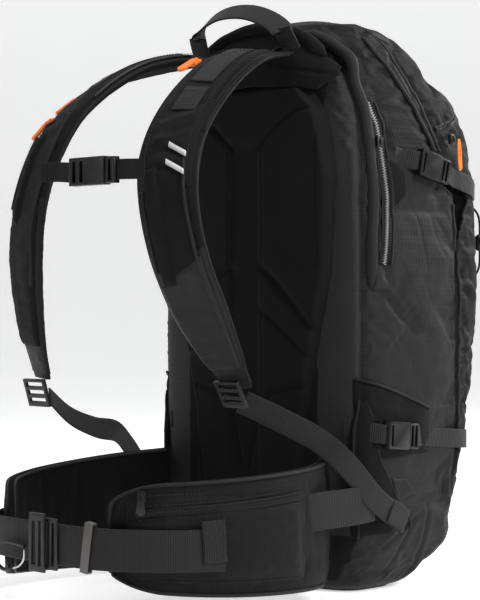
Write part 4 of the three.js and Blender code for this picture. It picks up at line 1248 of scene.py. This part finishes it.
def ribbed(strap, name, span, across, off):
    """A length of webbing sewn flat on the strap, with box stitching."""
    t = np.linspace(*span, 40)
    middle = strap.at(t, np.full(40, sum(across) / 2), off)[0]
    pick = (t * (strap.count - 1)).astype(int)
    swept(name, middle, strap.side[pick], lambda k: flat_section((across[1] - across[0]) * 27, 2.0),
            WEBBING, "pack")
    inner = (across[0] + 0.1, across[1] - 0.1)
    t0, t1 = span[0] + 0.012, span[0] + 0.05
    for k, line in enumerate(([(t0, inner[0]), (t0, inner[1])], [(t1, inner[0]), (t1, inner[1])],
                              [(t0, inner[0]), (t1, inner[1])], [(t0, inner[1]), (t1, inner[0])])):
        at, n = strap.line(line, off + 1.2, 20)
        stitches(f"{name}_stitches_{k}", at, n, "pack")


def mark(strap):
    """Two slanted reflective bars on the strap."""
    for k, start in enumerate((0.4, 0.44)):
        t = np.linspace(start, start + 0.03, 24)
        a = np.linspace(0.1, 0.72, 24)
        high = strap.at(t, a, 6.6)[0]
        low = strap.at(t, a, 4.6)[0]
        half = strap_axis(strap, t) * 3.0
        under = np.stack([low - half, low + half], 1).reshape(-1, 3)
        over = np.stack([high - half, high + half], 1).reshape(-1, 3)
        uv = np.stack([t.repeat(2), np.tile((0.0, 0.006), 24)], 1)
        sheet_solid(f"strap_{strap.name}_reflector_{k}", under, over, 24, 2, REFLECTIVE, "pack",
                uv)


def strap_axis(strap, t):
    return unit(np.stack([np.interp(t, strap.t, strap.along[:, k]) for k in range(3)], -1))


for sign in (LEFT, RIGHT):
    dress_strap(straps[sign])
    side = SIDE_NAME[sign]
    a, b = np.array([sign * 0.6, 0.5, 0.6]), np.array([0, 0.6, 0.8])
    webbing(f"lower_webbing_{side}", LOWER_WEBBING[sign], lambda t: a + (b - a) * t, HARNESS_WEBBING,
            1.8, WEBBING,
            "pack", [f"strap_webbing_{side}"], 90)
    detailed(f"ladder_lock_{side}", f"lock_{side}", PLASTIC, 0.9, 3)

# ------------------------------------------------------------------ trigger
detailed("trigger_handle", "trigger", ORANGE, 1.2, 3)
NODES["trigger_cable"].data.materials.clear()
NODES["trigger_cable"].data.materials.append(PLASTIC)

# ------------------------------------------------------------------ sternum strap
detailed("sternum_socket", "pack", PLASTIC, 1.6, 3)
detailed("sternum_plug", "sternum_plug", PLASTIC, 0.9, 3)
sternum_left = webbing("sternum_band_left", [(41, -232, 430), (50, -230, 430), (60, -224, 430), (68, -221,
        430)], UP,
                       SIDE_WEBBING, 1.8, WEBBING_DARK, "pack", ["sternum_webbing_left"], 24)
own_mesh(sternum_left)
webbing("sternum_band_right", [(-28.5, -232, 430), (-40, -231, 431), (-56, -230, 432), (-74, -234, 432)],
        UP, SIDE_WEBBING, 1.8,
        WEBBING_DARK, "pack", ["sternum_webbing_right"], 40)


# ------------------------------------------------------------------ hip belt
class Wing:
    """One hip wing as a padded form, with points on its outer face by (t, share of the height)."""

    def __init__(self, sign):
        self.sign, self.name = sign, SIDE_NAME[sign]
        self.rows = 110
        self.t = np.linspace(0, 1, self.rows)
        plan = path_at([(x, y, 0) for x, y in WING[sign]], self.t)
        along = unit(np.gradient(plan, axis=0))
        self.plan = plan
        self.out = np.stack([along[:, 1], -along[:, 0], np.zeros(self.rows)], 1) * -sign
        tip = np.maximum(0, (self.t - 0.8) / 0.2)
        rounding = 1 - np.sqrt(np.maximum(0, 1 - tip * tip * 0.84))
        top, drop, bottom = WING_EDGES[sign]
        self.low = bottom + 4 * self.t + 12 * self.t**2 + 30 * rounding
        self.high = top - drop * self.t - 34 * rounding
        self.low += 26 * np.maximum(0, 1 - self.t / 0.16) ** 2

    def at(self, t, s, off=0.0, face=1):
        t, s = np.broadcast_arrays(np.asarray(t, float), np.asarray(s, float))
        pick = lambda values: np.stack([np.interp(t, self.t, values[:, k]) for k in range(3)], -1)
        plan, out = pick(self.plan), unit(pick(self.out))
        z = np.interp(t, self.t, self.low) * (1 - s) + np.interp(t, self.t, self.high) * s
        height = WING_THICKNESS / 2 * (1 - np.abs(2 * s - 1) ** 5) ** 0.5
        p = plan + out * (face * height + off)[..., None]
        p[..., 2] = z
        return p, out * face

    def body(self):
        around = 64
        angle = np.linspace(0, 2 * math.pi, around, endpoint=False)
        c, s = np.cos(angle), np.sin(angle)
        u = np.sign(c) * np.abs(c) ** 0.5
        v = np.sign(s) * np.abs(s) ** 0.55
        rows, uvs = [], []
        run = lengths(self.plan)
        for k in range(self.rows):
            middle, half = (self.low[k] + self.high[k]) / 2, (self.high[k] - self.low[k]) / 2
            end = min(1.0, 0.35 + (1 - self.t[k]) * 14)
            ring = self.plan[k] + self.out[k] * (v * (WING_THICKNESS / 2) * end)[:, None]
            ring[:, 2] = middle + u * half
            rows.append(ring)
            uvs.append(np.stack([np.full(around, run[k]), angle * half * 0.65], 1) / 1000)
        points = np.vstack(rows)
        edge = np.tile(np.abs(u) > 0.93, self.rows).astype(float) * 0.8
        pins = np.maximum(edge, np.repeat((self.t < 0.04) | (self.t > 0.97), around).astype(float))
        for share in (0.3, 0.62):
            pins = np.maximum(pins, np.tile(np.abs(u - (2 * share - 1)) < 0.05, self.rows) * 0.9)
        faces = loop_faces(self.rows, around)
        moved = simulate(points, faces, pins, pressure=1.6, shrink=-0.02, cap=2.0, frames=16)
        outer = np.tile(v > 0, self.rows - 1)
        index = np.concatenate([np.where(outer, 0, 1), [0, 0]])
        obj = make(f"wing_{self.name}_foam", moved, faces, [STRAP_CLOTH, SPACER], "pack",
                   [f"hip_wing_{self.name}"], np.vstack(uvs), index)
        facing_out(obj)
        keep = slice(2, self.rows - 1)
        edge_line = np.vstack([self.edge(self.high)[keep], self.edge(self.low)[keep][::-1]])
        for face, radius in ((1, 1.9), (-1, 1.5)):
            shifted = edge_line + np.vstack([self.out[keep], self.out[keep][::-1]]) * face * 4.0
            shifted[:, 2] -= np.sign(shifted[:, 2] - 80) * 1.8
            tube(f"wing_{self.name}_piping_{face + 1}", smooth(shifted, 2), radius, PIPING, "pack",
                    10)
        return obj

    def edge(self, z):
        line = self.plan.copy()
        line[:, 2] = z
        return line


def hip_pocket(wing):
    rows, columns = 90, 40
    t = np.linspace(0.3, 0.93, rows)
    s = np.linspace(0.1, 0.93, columns)
    T, S = (a.ravel() for a in np.meshgrid(t, s, indexing="ij"))
    base, out = wing.at(T, S, 0.2)
    u, v = (T - 0.3) / 0.63, (S - 0.1) / 0.83
    rim = np.minimum(np.minimum(u, 1 - u) * 160, np.minimum(v, 1 - v) * 78)
    puff = 4.2 * smoothstep(0, 16, rim) + 0.9 * wobble(base, 32, 61 + wing.sign, 2) * smoothstep(4, 14, rim)
    zip_d = np.abs(S - (0.8 - 0.06 * u))
    puff -= 3.6 * np.exp(-((zip_d / 0.07) ** 2))
    tube_like = 0.5 + np.maximum(puff, 0)
    over = base + out * tube_like[:, None]
    obj = sheet_solid(f"hip_pocket_{wing.name}", base - out * 1.0, over, rows, columns, RIPSTOP_DARK,
            "pack", np.column_stack([T * 260, S * 100]) / 1000)
    tt = np.linspace(0.33, 0.9, 120)
    line, n = wing.at(tt, 0.8 - 0.06 * (tt - 0.3) / 0.63, 2.6)
    zip_chain(f"hip_zip_{wing.name}", line, n, "pack", 1.6, 4.0, TOOTH_DARK)
    for k, (s0, s1) in enumerate(((0.13, 0.13), (0.9, 0.9), (0.74, 0.68), (0.86, 0.8))):
        at, n = wing.at(tt, np.linspace(s0, s1, 120), 2.4 if k > 1 else 1.6)
        stitches(f"hip_pocket_stitches_{k}_{wing.name}", at, n, "pack")
    return obj


for sign in (LEFT, RIGHT):
    wing = Wing(sign)
    wing.body()
    if sign == LEFT:
        hip_pocket(wing)
    name = SIDE_NAME[sign]
    plan = [(x, y, HIP_Z) for x, y in HIP_WEBBING_PATH[sign]]
    webbing(f"hip_band_{name}", plan, UP, HIP_WEBBING, 2.2, WEBBING, "pack", [f"hip_webbing_{name}"], 110)

HIP_FOLD = [(160.2, -201.4, 77.3), (154.5, -210.5, 76.6), (148.4, -219.8, 75.9)]
webbing("hip_band_folded_end", HIP_FOLD, UP, HIP_WEBBING, 2.0, WEBBING, "pack", (), 16)
for k, (a, b) in enumerate((((0, -16), (0, 16)), ((1, -16), (1, 16)), ((0, -16), (1, -16)), ((0, 16), (1,
        16)),
                            ((0, -16), (1, 16)), ((0, 16), (1, -16)))):
    ends = [np.array(HIP_FOLD[0]) * (0.92 - 0.84 * s) + np.array(HIP_FOLD[2]) * (0.08 + 0.84 * s) + (1.0,
            -0.7, h)
            for s, h in (a, b)]
    line = np.linspace(*ends, 14)
    stitches(f"hip_band_box_stitches_{k}", line, np.tile((0.84, -0.54, 0.0), (14, 1)), "pack")
for sign in (LEFT, RIGHT):
    side = SIDE_NAME[sign]
    webbing(f"wing_link_{side}", [(sign * x, y, z) for x, y, z in ((152, -88, 92), (157, -62, 94), (161,
            -32, 95), (162, -8, 96),
                                                                   (160, 10, 97))],
            UP, 38, 2.2, WEBBING, "pack", (), 50)
    end = [(169.2, 26, 88.6), (169.2, 50, 75.0)]
    webbing(f"lower_webbing_fold_{side}", [(sign * x, y, z) for x, y, z in (end[0], (169.3, 38, 81.8),
            end[1])],
            (0, 0.49, 0.87), HARNESS_WEBBING, 1.8, WEBBING, "pack", (), 14)
    for k, shift in enumerate((-9.5, 9.5)):
        line = np.linspace(*[np.array((sign * (x + 1.2), y + 0.49 * shift, z + 0.87 * shift)) for x, y,
                z in end], 14)
        stitches(f"lower_webbing_stitches_{k}_{side}", line, np.tile((float(sign), 0.0, 0.0), (14, 1)),
                "pack")

for node, body, material, rounding in (("hip_buckle_frame", "hip_frame", GUNMETAL, 1.2),
                                       ("hip_buckle_hook", "hip_hook", GUNMETAL, 0.9),
                                       ("webbing_keeper", "keeper", KEEPER_METAL, 0.8)):
    detailed(node, body, material, rounding, 3)
clip = [(22, 0, 12), (8, 0, 13.5), (-12, 0, 13.5), (-19, 0, 10), (-19, 0, -10), (-8, 0, -14), (-1, 0, -11)]
tube("leg_clip_wire", even(clip, 60) + (-52, -290.5, 51), 2.0, GUNMETAL, "pack", 12,
        ["leg_clip_body"])
gate = [(22, 0, 8.4), (21, 0, -1), (14.5, 0, -8), (4.5, 0, -11.5)]
tube("leg_clip_spring_gate", even(gate, 30) + (-52, -290.5, 51), 0.9, STEEL, "clip_gate", 8,
        ["leg_clip_gate"])

# ------------------------------------------------------------------ haul loop
loop_path = even(HAUL_LOOP, 90)
swept("haul_band", loop_path, (0, 0.75, 0.66), lambda k: flat_section(HARNESS_WEBBING, 2.4), WEBBING,
        "haul_loop", ["haul_loop"])

for k, points in enumerate((((-65, -23, 588), (-66, -19, 578), (-66, -12, 562)), ((62, -23, 587), (63, -18,
        578), (64, -9, 566)))):
    webbing(f"haul_anchor_{k}", points, (1, 0, 0), HARNESS_WEBBING, 2.2, WEBBING, "pack", (), 30)


# ------------------------------------------------------------------ compression straps
def surface_y(y, z, off):
    return bag_x(np.array([y]), np.array([z]))[0] + off


def compression(level, sign):
    side = SIDE_NAME[sign]
    x, y, z, drop = COMPRESSION[level]
    detailed(f"compression_socket_{level}_{side}", "pack", PLASTIC, 1.3, 3)
    detailed(f"compression_plug_{level}_{side}", f"plug_{level}_{side}", PLASTIC, 0.8, 3)
    start = y + 48.4
    points = []
    for k, at in enumerate(s for j, s in enumerate((start, start + 16, 160, 182,
            202)) if j < 2 or s > start + 28):
        height = z - (at - y) * drop
        out_x = x + 5 if k == 0 else surface_y(at, height, 5)
        points.append((sign * out_x, at, height))
    band = webbing(f"compression_band_{level}_{side}", points, UP, SIDE_WEBBING, 1.8, WEBBING, "pack",
                   [f"compression_webbing_{level}_{side}"], 70)
    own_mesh(band)
    lead = [(sign * (x + 5), y + 6, z), (sign * (x + 3.5), y - 3, z + 1), (sign * surface_y(y - 14, z + 3,
            2.4), y - 14, z + 3),
            (sign * surface_y(y - 26, z + 5, 1.6), y - 26, z + 5)]
    webbing(f"compression_lead_{level}_{side}", lead, UP, SIDE_WEBBING, 1.6, WEBBING, "pack", (), 30)


for sign in (LEFT, RIGHT):
    for level in COMPRESSION:
        compression(level, sign)

# ------------------------------------------------------------------ sliders
def cord_pull(name, node, body, radius):
    """A loop of cord with a bound end, as long and wide as the CAD pull."""
    co = np.array([v.co[:] for v in NODES[node].data.vertices]) * 1000 + (0, BASE_CENTRE_Y, 0)
    _, _, turn = np.linalg.svd(co - co.mean(0), full_matrices=False)
    along = [(co - co.mean(0)) @ axis for axis in turn]
    centre = co.mean(0) + sum(run.min() / 2 * axis + run.max() / 2 * axis for run, axis in zip(along, turn))
    reach = [np.abs((co - centre) @ axis).max() for axis in turn]
    long, wide = turn[0], turn[1]
    if long[2] > 0:
        long = -long
    length, half = reach[0] - radius, max(reach[1] - radius, radius * 1.15)
    angle = np.linspace(0, 2 * math.pi, 60, endpoint=False)
    u, v = np.cos(angle), np.sin(angle)
    taper = 0.62 + 0.38 * (0.5 + 0.5 * u)
    path = centre + np.outer(length * np.sign(u) * np.abs(u) ** 0.75, long) + np.outer(half * v * taper,
            wide)
    tube(name + "_cord", path, radius, ORANGE, body, 10, [node], closed=True)
    grip = np.linspace(centre + long * length * 0.1, centre + long * length * 0.95, 20)
    tube(name + "_grip", grip, min(radius * 1.9, reach[2] + 1.0), ORANGE, body, 12)


detailed("back_zip_slider", "back_zip", GUNMETAL, 0.7, 2)
detailed("front_zip_slider", "front_zip", GUNMETAL, 0.7, 2)
cord_pull("front_zip_pull", "front_zip_pull", "front_pull", 1.3)
for place, body in (("left", "left"), ("right_upper", "upper"), ("right_lower", "lower")):
    detailed(f"strap_zip_slider_{place}", f"strap_zip_{body}", ORANGE, 0.7, 2)
detailed("hip_pocket_slider", "hip_zip", PLASTIC, 0.7, 2)
detailed("tool_cord_lock", "cord_lock", PLASTIC, 0.6, 2)
elastic = even([(138, 195, 408), (140.5, 206, 398), (141, 209.4, 388), (141, 209.4, 366), (141, 209.4, 344),
                (140.5, 206, 334), (138, 195, 324)], 60)
tube("tool_elastic", elastic, 1.3, CORD, "pack", 10)


# ------------------------------------------------------------------ inside the bag
def airbag():
    rows, columns = 60, 90
    a = np.linspace(0, 2 * math.pi, columns, endpoint=False)
    s = np.linspace(-1, 1, rows)
    ring = []
    for k in s:
        reach = max(0.03, math.sqrt(max(0, 1 - abs(k) ** 6)))
        ring.append(np.stack([np.full(columns, k * 70), 88 + np.cos(a) * 36 * reach,
                550 + np.sin(a) * 20 * reach], 1))
    p = np.vstack(ring)
    out = unit(p - AIRBAG_CENTRE)
    p = p + out * (1.4 * wobble(p * (0.4, 1, 1), 16, 71, 3))[:, None]
    faces = loop_faces(rows, columns)
    return facing_out(make("folded_airbag", p, faces, AIRBAG, "pack", ["airbag"], p[:,
            :2] / 1000))


airbag()
for node, material in (("frame_sheet", GREY_PLASTIC), ("frame_stay", STEEL), ("fan_housing", GREY_PLASTIC),
                       ("impeller", STEEL), ("fan_motor", STEEL), ("capacitor_pack", GUNMETAL),
                       ("control_unit", GREY_PLASTIC), ("power_switch", ORANGE)):
    NODES[node].data.materials.clear()
    NODES[node].data.materials.append(material)


# ------------------------------------------------------------------ stage, light and camera
def stage():
    mesh = bpy.data.meshes.new("floor")
    bm = bmesh.new()
    steps = 40
    width = 14.0
    profile = [(-14.0, 0.0), (5.0, 0.0)] + [
        (5.0 + 2.0 * math.sin(a), 2.0 - 2.0 * math.cos(a)) for a in np.linspace(0.05, math.pi / 2, steps)
    ] + [(7.0, 9.0)]
    view = Vector(VIEW_DIRECTION)
    side = Vector((0.7071, 0.7071, 0))
    rows = []
    for d, z in profile:
        rows.append([bm.verts.new(view * d + side * s * width + Vector((0, 0, z))) for s in (-1, 1)])
    for (a, b), (c, d) in zip(rows[:-1], rows[1:]):
        bm.faces.new((a, b, d, c)).smooth = True
    bm.to_mesh(mesh)
    bm.free()
    n = Nodes("paper_floor")
    where = n.add("ShaderNodeTexCoord").outputs["Object"]
    n.put(n.shader.inputs["Base Color"], n.ramp(n.noise(where, 3.0), [(0.3, (0.86, 0.86, 0.86)), (0.7,
            (0.88, 0.88, 0.88))]))
    n.shader.inputs["Roughness"].default_value = 0.9
    n.shader.inputs["Emission Color"].default_value = (1, 1, 1, 1)
    n.shader.inputs["Emission Strength"].default_value = 0.45
    mesh.materials.append(n.material)
    floor = bpy.data.objects.new("floor", mesh)
    bpy.context.scene.collection.objects.link(floor)


def softbox(name, at, target, size, power, colour=(1, 1, 1)):
    light = bpy.data.lights.new(name, "AREA")
    light.shape = "RECTANGLE"
    light.size, light.size_y = size
    light.energy = power
    light.color = colour
    obj = bpy.data.objects.new(name, light)
    obj.location = at
    obj.rotation_mode = "QUATERNION"
    obj.rotation_quaternion = (Vector(target) - Vector(at)).to_track_quat("-Z", "Y")
    bpy.context.scene.collection.objects.link(obj)


stage()
softbox("key", (2.6, 0.1, 1.9), (0, 0, 0.3), (1.1, 1.1), 78)
softbox("top", (0.2, -0.3, 2.6), (0, 0, 0.3), (1.2, 1.2), 26)
softbox("fill", (-1.2, -2.6, 1.2), (0, 0, 0.3), (1.2, 1.2), 9)
softbox("rim", (0.6, 2.4, 1.6), (0, 0, 0.4), (0.8, 0.8), 34)

world = bpy.data.worlds.new("studio")
bpy.context.scene.world = world
world.use_nodes = True
world.node_tree.nodes["Background"].inputs["Color"].default_value = (0.95, 0.97, 1.0, 1)
world.node_tree.nodes["Background"].inputs["Strength"].default_value = 0.16
bpy.context.scene.view_settings.view_transform = "Standard"

camera = bpy.data.cameras.new("camera")
camera.sensor_width = 36
camera.lens = 111.6
camera.clip_start, camera.clip_end = 0.05, 50
view = bpy.data.objects.new("camera", camera)
view.location = (1.4029, -1.4845, 0.303)
view.rotation_mode = "QUATERNION"
view.rotation_quaternion = Vector(VIEW_DIRECTION).to_track_quat("-Z", "Y")
bpy.context.scene.collection.objects.link(view)
bpy.context.scene.camera = view
